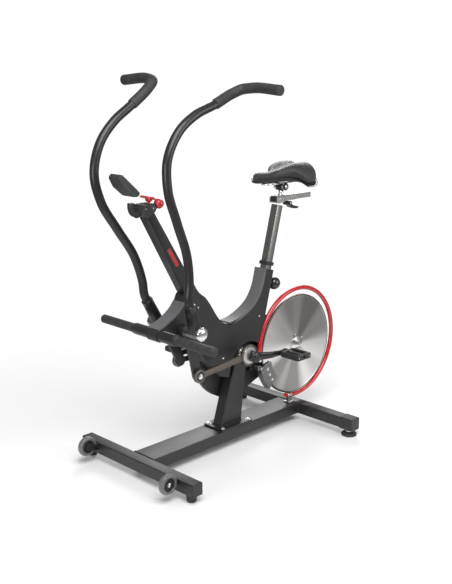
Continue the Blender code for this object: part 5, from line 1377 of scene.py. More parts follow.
    def make(self) -> None:
        """Build the crank set and its pedals."""
        self.axle()
        for side, prefix in SIDES:
            self.crank(side, prefix)
            self.pedal(side, prefix)


# ---------------------------------------------------------------- flywheel side

@dataclass
class Drive:
    """Flywheel, its shaft and stay, the guard ring, brake, belt guard and pulley."""

    shop: Shop
    nodes: dict
    axis: Pair = (0.887, 0.354)
    radius: float = 0.228
    face_x: float = 0.026
    thickness: float = 0.012
    crank: Pair = (0.532, 0.390)
    ring_centre: Pair = (0.896, 0.361)
    ring_radius: float = 0.2495
    ring_x: float = 0.020
    tube: float = 0.0100
    guard_top: float = 0.531

    def flywheel(self) -> None:
        """A turned disc with a raised hub, a shallow step near the rim, and a dark edge."""
        f, b, r = self.face_x, self.face_x - self.thickness, self.radius
        disc = [(b, 0.0088), (b, r - 0.010), (b + 0.0014, r - 0.0012), (b + 0.003, r),
                (f - 0.003, r), (f - 0.0014, r - 0.0012), (f, r - 0.0050), (f, r - 0.0075),
                (f - 0.0006, r - 0.0085), (f - 0.0006, 0.060), (f + 0.0002, 0.058),
                (f + 0.0002, 0.0088), (b, 0.0088)]
        centre = (self.axis[0] + self.shop.datum, self.axis[1])
        # The spun face's colour carries painted reflection wedges.
        face = Spun("spun_face", "spun_aluminium", (0.76, 0.74, 0.725), 0.22, centre)
        self.shop.build("flywheel_disc", lathe(disc, self.axis, 160), face, "wheel",
                        ["flywheel"], sharp=25.0)
        rim = [(b - 0.0002, r - 0.0055), (b + 0.001, r + 0.0002), (b + 0.002, r + 0.0008),
               (f - 0.002, r + 0.0008), (f - 0.001, r + 0.0002), (f + 0.0002, r - 0.0055),
               (f - 0.001, r - 0.0065), (b + 0.001, r - 0.0065), (b - 0.0002, r - 0.0055)]
        self.shop.build("flywheel_rim", lathe(rim, self.axis, 160), ROD_STEEL, "wheel")
        # The cone's colour carries three painted reflection wedges.
        cone_face = Spun("spun_cone", "spun_aluminium", (0.80, 0.79, 0.78), 0.16, centre, 7000.0,
                         3, 2.2)
        start = f + 0.0003
        share = np.linspace(0.0, 1.0, 14)
        cone = [(start, 0.0), (start, 0.0335), (start + 0.0012, 0.0340), (start + 0.0032, 0.0338)]
        cone += [(start + 0.0032 + 0.0308 * t, 0.0338 * (1 - t) ** 1.35 + 0.0009)
                 for t in share.tolist()]
        cone.append((start + 0.0343, 0.0))
        self.shop.build("flywheel_cone", lathe(cone, self.axis, 96), cone_face, "wheel",
                        ["flywheel_shaft"])
        shaft = lathe([(-0.0560, 0.0), (-0.0560, 0.0255), (-0.0530, 0.0255), (-0.0530, 0.0215),
                       (-0.0390, 0.0215), (-0.0390, 0.0085), (start, 0.0085), (start, 0.0)],
                      self.axis, 56)
        self.shop.build("flywheel_axle", shaft, ZINC, "wheel")
        studs = Surface(np.empty((0, 3)), [])
        for turn in np.radians((30.0, 102.0, 174.0, 246.0, 318.0)).tolist():
            place = (f + 0.0002, self.axis[0] + 0.046 * cos(turn), self.axis[1] + 0.046 * sin(turn))
            studs += Bolt(0.0042, 0.0022, True).shape(place, (1, 0, 0))
        self.shop.build("flywheel_screws", studs, ZINC, "wheel")

    def ring_point(self, angle: float) -> np.ndarray:
        """A point on the guard ring's centreline, in degrees from +Y towards +Z."""
        turn = radians(angle)
        return np.array((self.ring_x, self.ring_centre[0] + self.ring_radius * cos(turn),
                         self.ring_centre[1] + self.ring_radius * sin(turn)))

    def ring(self) -> None:
        """The red bar bent round the flywheel, and the clamp that stands it on the base."""
        turn = np.radians(np.linspace(182.0, -107.0, 170))
        line = np.column_stack((np.full(len(turn), self.ring_x),
                                self.ring_centre[0] + self.ring_radius * np.cos(turn),
                                self.ring_centre[1] + self.ring_radius * np.sin(turn)))
        self.shop.build("guard_ring", carried(line, self.tube, 28, lip=0.003), RING_RED, "frame",
                        ["ring_guard"])
        centre = self.ring_point(-101.0)
        ahead = self.ring_point(-102.5) - self.ring_point(-99.5)
        ahead /= np.linalg.norm(ahead)
        barrel = carried(np.array([centre + ahead * share for share in
                                   (-0.0130, -0.0124, 0.0, 0.0124, 0.0130)]),
                         np.array((0.0107, 0.0115, 0.0115, 0.0115, 0.0107)), 40)
        base = 0.0813
        x, y, z = centre
        foot = block((x - 0.018, y - 0.014, base), (x + 0.018, y + 0.014, base + 0.006))
        leg = block((x - 0.009, y - 0.009, base + 0.004), (x + 0.009, y + 0.009, z - 0.004))
        self.shop.build("ring_stand", foot + leg, ZINC, "frame", ["ring_clamp"], bevel=0.0012)
        self.shop.build("ring_barrel", barrel, CHROME, "frame", sharp=50.0)
        heads = Surface(np.empty((0, 3)), [])
        for offset in (-0.0135, 0.0135):
            heads += Bolt(0.0030, 0.0024).shape((x + offset, y, base + 0.006), (0, 0, 1))
        self.shop.build("ring_stand_bolts", heads, ZINC, "frame")

    def stay(self) -> None:
        """The arm behind the disc that carries its bearing, with the ring's front bracket."""
        x0, x1 = -0.022, 0.004
        arm = slab(belt_line(self.axis, (0.610, 0.336), 0.0265, 0.028), x0, x1)
        root = block((x0 + 0.001, 0.563, 0.308), (x1 - 0.001, 0.620, 0.364))
        front = self.ring_point(182.0)
        tail = front[2] - self.tube
        lug = block((x0 + 0.0005, front[1] - 0.018, tail - 0.022),
                    (self.ring_x + 0.006, front[1] + 0.010, tail - 0.0003))
        boss = block((x0 + 0.0015, 0.606, 0.286), (x1 - 0.0015, 0.648, 0.338))
        pin = lathe(rounded_bar(0.002, 0.046, 0.005), (0.636, 0.298), 32)
        self.shop.build("wheel_stay", arm + root + lug + boss, FRAME_BLACK, "frame",
                        ["flywheel_stay"], bevel=0.0016)
        self.shop.build("brake_pin", pin, ZINC, "frame")
        dome = aimed([(0.0, 0.0), (0.0, 0.0100), (0.0030, 0.0105), (0.0075, 0.0088),
                      (0.0110, 0.0050), (0.0120, 0.0)], (self.ring_x + 0.006, 0.640, 0.3325),
                     (1, 0, 0), 40)
        self.shop.build("ring_front_bolt", dome, CHROME, "frame")

    def brake(self) -> None:
        """A fork over the flywheel's lower front edge, with two magnets on each plate."""
        inner, outer = self.face_x - self.thickness - 0.0035, self.face_x + 0.0035
        sector = arc(self.axis, 0.252, 193.0, 222.0, 20) + arc(self.axis, 0.182, 222.0, 193.0, 16)
        web = arc(self.axis, 0.252, 193.0, 222.0, 20) + arc(self.axis, 0.240, 222.0, 193.0, 20)
        shape = slab(sector, outer, outer + 0.005) + slab(sector, inner - 0.005, inner)
        shape += slab(web, inner - 0.004, outer + 0.004)
        boss = lathe(rounded_bar(inner - 0.005, outer + 0.005, 0.012), (0.636, 0.298), 48)
        self.shop.build("brake_yoke", shape + boss, BRAKE_STEEL, "magnet_brake", ["brake_fork"],
                        bevel=0.0009)
        pads = Surface(np.empty((0, 3)), [])
        for angle in (200.0, 208.5, 217.0):
            turn = radians(angle)
            place = (outer + 0.005, self.axis[0] + 0.212 * cos(turn),
                     self.axis[1] + 0.212 * sin(turn))
            pads += Bolt(0.0075, 0.0020, True).shape(place, (1, 0, 0))
        self.shop.build("brake_magnets", pads, ZINC, "magnet_brake")

    def guard_line(self, inset: float) -> list[Pair]:
        """The belt guard's outline, with its flat top, drawn in by an inset."""
        whole = belt_line(self.crank, self.axis, 0.207 - inset, 0.060 - inset, 72)
        return below(whole, self.guard_top - inset)

    def belt_side(self) -> None:
        """The belt guard's shell with a raised rim and screws, its back plate and the belt."""
        shell = slab(self.guard_line(0.0), -0.064, -0.0329)
        self.shop.build("guard_shell", shell, COVER_BLACK, "frame", ["belt_guard"],
                        bevel=0.0075, sharp=32.0, segments=5)
        inset = slab(self.guard_line(0.018), -0.0652, -0.0630)
        self.shop.build("guard_panel", inset, CAP_BLACK, "frame", bevel=0.0011)
        boss = lathe([(-0.0700, 0.0125), (-0.0700, 0.0300), (-0.0685, 0.0330), (-0.0645, 0.0345),
                      (-0.0645, 0.0125), (-0.0700, 0.0125)], self.crank, 72)
        self.shop.build("guard_collar", boss, CAP_BLACK, "frame")
        back = slab(self.guard_line(0.0), -0.0325, -0.0300)
        self.shop.build("guard_back", back, COVER_BLACK, "frame", ["belt_guard_inner"],
                        bevel=0.0008)
        heads = Surface(np.empty((0, 3)), [])
        for angle in (39.0, 145.0, 190.0, 250.0, 305.0):
            turn = radians(angle)
            heads += Bolt(0.0042, 0.0018, True).shape(
                (-0.0640, self.crank[0] + 0.1955 * cos(turn), self.crank[1] + 0.1955 * sin(turn)),
                (-1, 0, 0))
        heads += Bolt(0.0042, 0.0018, True).shape((-0.0640, self.axis[0] + 0.050, self.axis[1]),
                                                  (-1, 0, 0))
        self.shop.build("guard_screws", heads, ZINC, "frame")
        self.shop.repaint("drive_belt", BELT_RUBBER, self.nodes)
        self.shop.repaint("drive_pulley", ZINC, self.nodes)

    def make(self) -> None:
        """Build everything round the flywheel and the belt."""
        self.flywheel()
        self.ring()
        self.stay()
        self.brake()
        self.belt_side()


# ---------------------------------------------------------------- saddle, rail and post

@dataclass
class Seat:
    """Post with its holes, head, rail, lock lever, pull knob, clamp and padded saddle."""

    shop: Shop
    lean: float = 14.7
    foot: Pair = (0.7035, 0.730)
    half_width: float = 0.020
    half_depth: float = 0.017
    above: float = 0.276
    below: float = 0.110
    pin_along: float = -0.060
    knob_radius: float = 0.0285
    knob_reach: float = 0.072
    stub_y: float = 0.797
    clamp_z: float = 1.075
    wire_z: float = 1.0915
    nose_y: float = 0.611
    length: float = 0.335
    wide: float = 0.115
    nose_wide: float = 0.030
    bottom: float = 1.098
    droop: float = 0.042
    channel: float = 0.018

    def carry(self) -> Matrix:
        """The post's own axes: X across, Y backwards across the post, Z up along it."""
        lean = radians(self.lean)
        return Matrix(((1, 0, 0, 0), (0, cos(lean), sin(lean), self.foot[0]),
                       (0, -sin(lean), cos(lean), self.foot[1]), (0, 0, 0, 1)))

    def post(self) -> None:
        """A rounded rectangular tube, brushed along its length, with a row of round holes drawn as
        rims over dark discs of painted shade.
        """
        rounding, steps = 0.005, 6
        corner = []
        for sx, sy, first in ((1, 1, 0.0), (-1, 1, 90.0), (-1, -1, 180.0), (1, -1, 270.0)):
            for turn in np.radians(np.linspace(first, first + 90.0, steps)).tolist():
                corner.append((sx * (self.half_width - rounding) + rounding * cos(turn),
                               sy * (self.half_depth - rounding) + rounding * sin(turn)))
        flat = np.array(corner)
        levels = (-self.below, self.above - 0.0008, self.above)
        shrink = (1.0, 1.0, 0.985)
        rings = [np.column_stack((flat * s, np.full(len(flat), z)))
                 for z, s in zip(levels, shrink)]
        shape = Surface(np.vstack(rings), net(len(levels), len(flat)))
        self.shop.build("post_tube", shape.turned(self.carry()), POST_GREY, "post",
                        ["seat_post"], sharp=50.0)
        holes = Surface(np.empty((0, 3)), [])
        for along in (0.0375, 0.0700, 0.1025, 0.1350, 0.1675):
            for tip in (1, -1):
                holes += aimed([(-0.0016, 0.0), (-0.0016, 0.0040), (0.00005, 0.0040),
                                (0.00025, 0.0047), (0.0, 0.0052), (-0.0016, 0.0052)],
                               (0.0, tip * self.half_depth, along), (0, tip, 0), 28)
        self.shop.build("post_hole_rims", holes.turned(self.carry()), POST_GREY, "post")
        # Painted shade: black discs sunk in each hole stand in for the shade inside the hollow
        # post; the holes are not cut through.
        hole_shade_discs = Surface(np.empty((0, 3)), [])
        for along in (0.0375, 0.0700, 0.1025, 0.1350, 0.1675):
            for tip in (1, -1):
                hole_shade_discs += aimed([(-0.0012, 0.0), (-0.0012, 0.0039), (0.00018, 0.0039),
                                 (0.00018, 0.0)], (0.0, tip * self.half_depth, along),
                                (0, tip, 0), 28)
        self.shop.build("post_hole_shade", hole_shade_discs.turned(self.carry()), CAP_BLACK, "post")

    def collar(self) -> None:
        """The black plastic bush round the mouth of the seat tube."""
        wide, deep = self.half_width + 0.0040, self.half_depth + 0.0040
        shape = Surface(np.empty((0, 3)), [])
        inner_x, inner_y = self.half_width + 0.0004, self.half_depth + 0.0004
        for x0, x1, y0, y1 in ((-wide, -inner_x, -deep, deep), (inner_x, wide, -deep, deep),
                               (-inner_x - 0.001, inner_x + 0.001, inner_y, deep),
                               (-inner_x - 0.001, inner_x + 0.001, -deep, -inner_y)):
            shape += block((x0, y0, 0.014), (x1, y1, 0.030))
        self.shop.build("seat_bush", shape.turned(self.carry()), CAP_BLACK, "frame",
                        ["seat_tube_collar"], bevel=0.0014)

    def head(self) -> None:
        """The open channel that holds the rail, with its side bolts and underside web."""
        y0, floor = 0.7485, 1.0130
        outline = [(y0, 1.008), (y0 + 0.122, 1.018), (y0 + 0.122, 1.033), (y0, 1.033)]
        shape = slab(outline, 0.0184, 0.023) + slab(outline, -0.023, -0.0184)
        shape += slab([(y0 + 0.0002, 1.0082), (y0 + 0.1218, 1.0182), (y0 + 0.1218, floor),
                       (y0 + 0.0002, floor)], -0.0190, 0.0190)
        self.shop.build("rail_channel", shape, HEAD_SILVER, "post", ["seat_head"], bevel=0.0010)
        heads = Surface(np.empty((0, 3)), [])
        for y in (y0 + 0.018, y0 + 0.098):
            for side in (1, -1):
                heads += Bolt(0.0036, 0.0022, True).shape((side * 0.023, y, 1.0240),
                                                          (side, 0, 0))
        self.shop.build("channel_screws", heads, ZINC, "post")
        beads = weld([(0.019, 0.7620, 1.0070), (0.0205, 0.7800, 1.0085), (0.019, 0.7950, 1.0100)],
                     0.0022)
        self.shop.build("channel_weld", beads + beads.mirrored(RIGHT), HEAD_SILVER, "post")

    def rail(self) -> None:
        """The brushed rail with its end plugs, and the chrome stub under the saddle."""
        low, high = 1.0133, 1.0373
        bar = block((-0.018, 0.7525, low), (0.018, 0.9745, high))
        self.shop.build("rail_bar", bar, RAIL_SILVER, "rail", ["seat_rail"], bevel=0.0016)
        plugs = block((-0.0172, 0.7505, low + 0.0008), (0.0172, 0.7530, high - 0.0008))
        plugs += block((-0.0172, 0.9740, low + 0.0008), (0.0172, 0.9765, high - 0.0008))
        self.shop.build("rail_plugs", plugs, CAP_BLACK, "rail", bevel=0.0012)
        stub = stood([(high - 0.003, 0.0), (high - 0.003, 0.0150), (high + 0.0022, 0.0148),
                      (high + 0.0035, 0.0112), (1.0578, 0.0110), (1.0592, 0.0096),
                      (1.0592, 0.0)], 0.0, self.stub_y)
        self.shop.build("rail_stub", stub, CHROME, "rail", sharp=50.0)

    def clamp(self) -> None:
        """A clamp block with ribbed side discs and nuts, and the saddle's two wires."""
        z = self.clamp_z
        barrel = lathe(rounded_bar(-0.031, 0.031, 0.0148, 0.002), (self.stub_y, z), 56)
        body = slab([(self.stub_y - 0.016, 1.0596), (self.stub_y + 0.016, 1.0596),
                     (self.stub_y + 0.0165, 1.078), (self.stub_y - 0.0165, 1.078)],
                    -0.0150, 0.0150)
        self.shop.build("clamp_block", barrel + body, FRAME_BLACK, "rail", ["saddle_clamp"],
                        bevel=0.0012)
        discs = Surface(np.empty((0, 3)), [])
        for side in (1, -1):
            discs += lathe([(side * 0.0165, 0.0150), (side * 0.0165, 0.0168),
                            (side * 0.0265, 0.0168), (side * 0.0265, 0.0150),
                            (side * 0.0165, 0.0150)], (self.stub_y, z), 56)
            discs += Bolt(0.0066, 0.0040).shape((side * 0.0308, self.stub_y, z), (side, 0, 0))
        self.shop.build("clamp_nuts", discs, ZINC, "rail")
        w = self.wire_z
        nose = [(0.0, self.nose_y + 0.068, w + 0.001), (0.014, self.nose_y + 0.078, w),
                (0.021, self.nose_y + 0.120, w), (0.022, self.stub_y + 0.045, w),
                (0.034, self.stub_y + 0.100, w + 0.001)]
        wire = eased([(-x, y, z) for x, y, z in reversed(nose[1:])] + nose, 8)
        self.shop.build("saddle_wires", carried(wire, 0.0034, 18), CHROME, "rail")

    def section(self, t: np.ndarray) -> tuple[np.ndarray, np.ndarray, np.ndarray]:
        """Half width, top and share of the wings at shares t of its length from the nose."""
        grow = np.clip((t - 0.30) / 0.42, 0.0, 1.0)
        wings = grow * grow * (3 - 2 * grow)
        tail = 1.0 - np.maximum(0.0, (t - 0.80) / 0.20) ** 2.6 * 0.30
        nose = np.sqrt(np.minimum(1.0, t / 0.09))
        half = (self.nose_wide + (self.wide - self.nose_wide) * wings) * tail \
            * np.maximum(0.45, nose)
        top = 1.150 - 0.0084 * np.sin(pi * np.minimum(1.0, t / 0.62)) ** 2 + 0.028 * wings
        top -= 0.020 * np.maximum(0.0, 1 - t / 0.12) ** 2
        top -= 0.030 * np.maximum(0.0, (t - 0.88) / 0.12) ** 2
        return half, top, wings

    def hang(self, x: np.ndarray, wings: np.ndarray) -> np.ndarray:
        """How far the saddle hangs below its middle at a distance x from it."""
        return self.droop * wings * np.minimum(1.0, np.abs(x) / self.wide) ** 4

    def saddle_form(self, shrink: float, low: float, across: int, along: int,
                    high: float = 9.0) -> Surface:
        """A closed saddle shape: each ring is a rounded oblong with hanging wings.

        Args:
            shrink: how far its skin lies inside the full size, in metres.
            low: its underside's height in the middle.
            across: points round each ring.
            along: rings from nose to tail.
            high: the height in the middle that it is cut down to.

        Returns:
            The shape in datum coordinates.
        """
        share = 0.5 - 0.5 * np.cos(np.linspace(0.0, pi, along))
        half, top, wings = self.section(share)
        ends = np.sqrt(np.clip(1 - (2 * share - 1) ** 14, 0.0, 1.0))
        half = np.maximum((half - shrink) * np.maximum(ends, 0.30), 0.004)
        turn = np.linspace(0.0, 2 * pi, across, endpoint=False)
        c, s = np.cos(turn)[None, :], np.sin(turn)[None, :]
        top = top - shrink
        middle = ((top + low) / 2)[:, None]
        tall = ((top - low) / 2 * np.maximum(ends, 0.45))[:, None]
        x = half[:, None] * np.sign(c) * np.abs(c) ** 0.72
        upper = s > 0
        z = middle + tall * np.sign(s) * np.abs(s) ** np.where(upper, 0.70, 0.55)
        dip = np.exp(-(x / 0.024) ** 2) * wings[:, None] * self.channel
        z = np.minimum(z - np.where(upper, dip, 0.0), high) - self.hang(x, wings[:, None])
        y = self.nose_y + shrink + (self.length - 2 * shrink) * share[:, None] + 0 * x
        grid = np.stack((x, y, z), -1)
        return Surface(grid.reshape(-1, 3), net(along, across))

    def padding(self) -> None:
        """The soft top, blown up by cloth pressure, with a piped edge and a rigid base."""
        form = self.saddle_form(0.004, self.bottom + 0.010, 64, 76)
        pad = self.shop.build("saddle_pad", form, SEAT_VINYL, "rail", ["saddle"], sharp=60.0)
        self.inflate(pad, 0.0050)
        base = self.saddle_form(0.0052, self.bottom + 0.0004, 64, 64, self.bottom + 0.016)
        self.shop.build("saddle_base", base, CAP_BLACK, "rail", sharp=40.0)
        share = np.linspace(0.012, 0.988, 100)
        half, _, wings = self.section(share)
        ends = np.sqrt(np.clip(1 - (2 * share - 1) ** 14, 0.0, 1.0))
        half = (half - 0.0014) * np.maximum(ends, 0.30)
        y = self.nose_y + 0.0016 + (self.length - 0.0032) * share
        z = self.bottom + 0.0190 - self.hang(half, wings)
        left = np.column_stack((half, y, z))
        loop = np.vstack((left, left[::-1] * np.array((-1.0, 1.0, 1.0))))
        closed = np.vstack((loop, loop[:1]))
        self.shop.build("saddle_piping", carried(closed, 0.0016, 10), CAP_BLACK, "rail")

    def inflate(self, pad: bpy.types.Object, limit: float) -> None:
        """Swell a closed pad by cloth pressure and keep no point past a limit.

        Args:
            pad: the closed mesh, at the origin.
            limit: how far a point may end from where it began, in metres.
        """
        scene = bpy.context.scene
        remesh = pad.modifiers.new("cells", "REMESH")
        remesh.mode = "VOXEL"
        remesh.voxel_size = 0.0045
        remesh.use_smooth_shade = True
        self.keep_result(pad)
        start = self.places(pad)
        cloth = pad.modifiers.new("stuffing", "CLOTH")
        cloth.settings.quality = 6
        cloth.settings.mass = 0.3
        cloth.settings.tension_stiffness = 18.0
        cloth.settings.compression_stiffness = 18.0
        cloth.settings.bending_stiffness = 0.6
        cloth.settings.use_pressure = True
        cloth.settings.uniform_pressure_force = 4.0
        cloth.settings.effector_weights.gravity = 0.0
        cloth.point_cache.frame_start = 1
        cloth.point_cache.frame_end = 20
        for frame in range(1, 21):
            scene.frame_set(frame)
        self.keep_result(pad)
        scene.frame_set(1)
        moved = self.places(pad) - start
        reach = np.linalg.norm(moved, axis=1)
        scale = np.minimum(1.0, limit / np.maximum(reach, 1e-9))
        pad.data.vertices.foreach_set("co", (start + moved * scale[:, None]).ravel())
        soften = pad.modifiers.new("smooth", "SUBSURF")
        soften.levels = soften.render_levels = 1
        self.keep_result(pad)
        pad.data.shade_smooth()
        log.info("saddle pad swelled by up to %.1f mm", float(reach.max()) * 1000)

    @staticmethod
    def places(item: bpy.types.Object) -> np.ndarray:
        """An object's vertex positions."""
        flat = np.empty(len(item.data.vertices) * 3)
        item.data.vertices.foreach_get("co", flat)
        return flat.reshape(-1, 3)

    @staticmethod
    def keep_result(item: bpy.types.Object) -> None:
        """Replace an object's mesh by what its modifiers make of it, and remove them."""
        graph = bpy.context.evaluated_depsgraph_get()
        mesh = bpy.data.meshes.new_from_object(item.evaluated_get(graph))
        item.modifiers.clear()
        item.data = mesh

    def knob(self) -> None:
        """The pull pin: chrome stem, short black neck and a large gloss ball."""
        start = self.carry() @ Vector((0.0, 0.0, self.pin_along))
        back = self.carry().to_3x3() @ Vector((0.0, 1.0, 0.0))
        r, reach = self.knob_radius, self.knob_reach
        stem = aimed([(0.0178, 0.0), (0.0178, 0.0030), (0.0182, 0.0034), (0.0262, 0.0034),
                      (0.0268, 0.0044), (0.0445, 0.0044), (0.0445, 0.0)], start, back, 36)
        self.shop.build("pin_stem", stem, CHROME, "height_pin", sharp=50.0)
        turn = np.radians(np.linspace(27.0, 180.0, 40))
        ball = [(reach - r * 0.95 - 0.0034, 0.0), (reach - r * 0.95 - 0.0034, 0.0090),
                (reach - r * 0.95 - 0.0026, 0.0100), (reach - r * 0.95 + 0.0010, 0.0102)]
        ball += [(reach - r * cos(a), r * sin(a)) for a in turn.tolist()]
        self.shop.build("pin_ball", aimed(ball, start, back, 64), KNOB_BLACK, "height_pin",
                        ["pop_pin"], sharp=60.0)
        nut = aimed([(0.0300, 0.0047), (0.0300, 0.0108), (0.0325, 0.0112), (0.0325, 0.0047),
                     (0.0300, 0.0047)], start, back, 6)
        self.shop.build("pin_bush", nut, ZINC, "frame")

    def lock(self) -> None:
        """The rail's lock lever under the channel: a barrel and a curved handle."""
        y, z = 0.8405, 0.998
        barrel = lathe(rounded_bar(-0.020, 0.020, 0.010, 0.0014), (y, z), 44)
        handle = [(y - 0.006, z - 0.006), (y + 0.010, z - 0.020), (y + 0.034, z - 0.0270),
                  (y + 0.058, z - 0.0284), (y + 0.064, z - 0.0245), (y + 0.0635, z - 0.0200),
                  (y + 0.040, z - 0.0155), (y + 0.022, z - 0.0085), (y + 0.008, z)]
        shape = barrel + slab(handle, -0.011, 0.011)
        self.shop.build("lock_handle", shape, KNOB_BLACK, "rail_lock", ["rail_lock_lever"],
                        bevel=0.0022)
        marks = Bolt(0.0045, 0.0016, True).shape((0.020, y, z), (1, 0, 0))
        marks += Bolt(0.0045, 0.0016, True).shape((-0.020, y, z), (-1, 0, 0))
        self.shop.build("lock_screws", marks, ZINC, "rail_lock")

    def make(self) -> None:
        """Build everything that carries the rider."""
        self.post()
        self.collar()
        self.head()
        self.rail()
        self.clamp()
        self.padding()
        self.knob()
        self.lock()


# ---------------------------------------------------------------- console and resistance lever

@dataclass
class Cockpit:
    """Mast head, neck, console with a blank screen, and the red resistance lever."""

    shop: Shop
    hinge: Pair = (-0.033, 1.126)
    tilt: float = 41.5
    half_width: float = 0.033
    shift: Pair = (0.045, 1.062)
    rod_z: float = 1.0950

    def plane_point(self, along: float, deep: float) -> Pair:
        """A (y, z) place: along the screen from the hinge, and below its face."""
        tilt = radians(self.tilt)
        return (self.hinge[0] + along * cos(tilt) - deep * sin(tilt),
                self.hinge[1] - along * sin(tilt) - deep * cos(tilt))

    def mast_head(self) -> None:
        """A grey plastic head round the slot of the lever, with side screws."""
        outline = [(0.0590, 1.0500), (0.0220, 1.0285), (-0.0060, 1.0380), (0.0080, 1.0780),
                   (0.0180, 1.0800), (0.0560, 1.0790), (0.0660, 1.0620)]
        shape = Surface(np.empty((0, 3)), [])
        for side in (1, -1):
            shape += slab(outline, side * 0.0060, side * 0.030)
        shape += slab([(0.0590, 1.0500), (0.0220, 1.0285), (-0.0060, 1.0380), (-0.0020, 1.0520),
                       (0.0600, 1.0520)], -0.0065, 0.0065)
        shape += slab([(-0.0040, 1.0430), (0.0080, 1.0778), (0.0180, 1.0798), (0.0285, 1.0795),
                       (0.0285, 1.0430)], -0.0065, 0.0065)
        self.shop.build("head_shell", shape, HEAD_GREY, "frame", ["mast_head"], bevel=0.0022)
        screws = Surface(np.empty((0, 3)), [])
        for side in (1, -1):
            for y, z in ((0.014, 1.064), (0.048, 1.064)):
                screws += Bolt(0.0030, 0.0014, True).shape((side * 0.0300, y, z), (side, 0, 0))
        self.shop.build("head_screws", screws, ZINC, "frame")
        plate = slab([(0.0275, 1.0792), (0.0665, 1.0782), (0.0665, 1.0800), (0.0275, 1.0812)],
                     0.0066, 0.0250)
        plate += plate.mirrored(RIGHT)
        self.shop.build("head_trim", plate, CAP_BLACK, "frame", bevel=0.0006)

    def neck(self) -> None:
        """The bent neck between the mast head and the console, with a collar."""
        path = eased([(0.0, 0.0115, 1.0460), (0.0, -0.0100, 1.0460), (0.0, -0.0265, 1.0530),
                      (0.0, -0.0340, 1.0700), (0.0, -0.0340, 1.0885)], 10)
        tube = carried(path, 0.0135, 40)
        collar = carried(np.array(((0.0, -0.0042, 1.0456), (0.0, -0.0052, 1.0456),
                                   (0.0, -0.0120, 1.0458), (0.0, -0.0130, 1.0460))),
                         np.array((0.0144, 0.0156, 0.0156, 0.0144)), 40)
        self.shop.build("neck_tube", tube + collar, CAP_BLACK, "frame", ["console_neck"],
                        sharp=50.0)

    def console(self) -> None:
        """A wedge-shaped dark grey case with a bezel, a screen, keys and a rear joint line."""
        shell = [(-0.099, -0.014), (0.015, -0.014), (0.015, 0.004), (-0.003, 0.018),
                 (-0.061, 0.020), (-0.099, 0.006)]
        outline = filleted([self.plane_point(a, d) for a, d in shell], 0.006, 4)
        case = slab(outline, -self.half_width, self.half_width)
        self.shop.build("console_case", case, HEAD_GREY, "display", ["console"], bevel=0.0045,
                        sharp=46.0)
        bezel = [(-0.0925, -0.0138), (-0.0005, -0.0138), (-0.0005, -0.0152), (-0.0925, -0.0152)]
        frame = slab([self.plane_point(a, d) for a, d in bezel], -0.0290, 0.0290)
        self.shop.build("console_bezel", frame, CAP_BLACK, "display", bevel=0.0010)
        glass = [(-0.085, -0.0150), (-0.007, -0.0150), (-0.007, -0.0160), (-0.085, -0.0160)]
        middle = self.plane_point(-0.046, -0.0160)
        face = DisplayGlass("display_glass", "screen", (0.012, 0.013, 0.014), 0.10,
                            (0.0, middle[0] + self.shop.datum, middle[1]), 0.0205)
        window = slab([self.plane_point(a, d) for a, d in glass], -0.0250, 0.0250)
        self.shop.build("console_window", window, face, "display", ["console_screen"],
                        bevel=0.0004)
        keys = Surface(np.empty((0, 3)), [])
        normal = (0.0, sin(radians(self.tilt)), cos(radians(self.tilt)))
        for x in (-0.020, 0.0, 0.020):
            keys += aimed([(0.0, 0.0), (0.0, 0.0058), (0.0014, 0.0055), (0.0019, 0.0046),
                           (0.0019, 0.0)], (x, *self.plane_point(0.0065, -0.0138)), normal, 32)
        self.shop.build("console_keys", keys, BAR_RUBBER, "display")
        seam = [self.plane_point(a, d) for a, d in ((-0.0975, -0.0035), (0.0135, -0.0035),
                                                    (0.0135, -0.0022), (-0.0975, -0.0022))]
        line = slab(seam, -self.half_width - 0.0004, self.half_width + 0.0004)
        self.shop.build("console_seam", line, CAP_BLACK, "display")

    def lever(self) -> None:
        """Stalk, cross rod, ball and thumb blade in gloss red plastic."""
        y, z = self.shift[0] + 0.007, self.rod_z
        rod = lathe(rounded_bar(-0.011, 0.011, 0.010, 0.002), (y, z), 48)
        turn = np.linspace(0.0, pi, 28)
        ball = lathe([(0.0195 - 0.0195 * cos(a), 0.0195 * sin(a)) for a in turn.tolist()],
                     (y + 0.032, z - 0.018), 56)
        blade = filleted([(y - 0.004, z + 0.003), (y + 0.020, z - 0.005), (y + 0.024, z + 0.001),
                          (y + 0.008, z + 0.010), (y - 0.002, z + 0.0095)], 0.005, 4)
        stalk = slab([(self.shift[0] - 0.0055, self.shift[1] - 0.0045),
                      (self.shift[0] + 0.0055, self.shift[1] - 0.0045),
                      (y + 0.0065, z), (y - 0.0065, z)], -0.004, 0.004)
        self.shop.build("lever_body", rod + slab(blade, -0.050, 0.016) + stalk, LEVER_RED,
                        "resistance_lever", ["shift_lever"], bevel=0.0024, sharp=44.0)
        self.shop.build("lever_ball", ball, LEVER_RED, "resistance_lever", sharp=60.0)

    def make(self) -> None:
        """Build everything on top of the mast."""
        self.mast_head()
        self.neck()
        self.console()
        self.lever()


# ---------------------------------------------------------------- studio

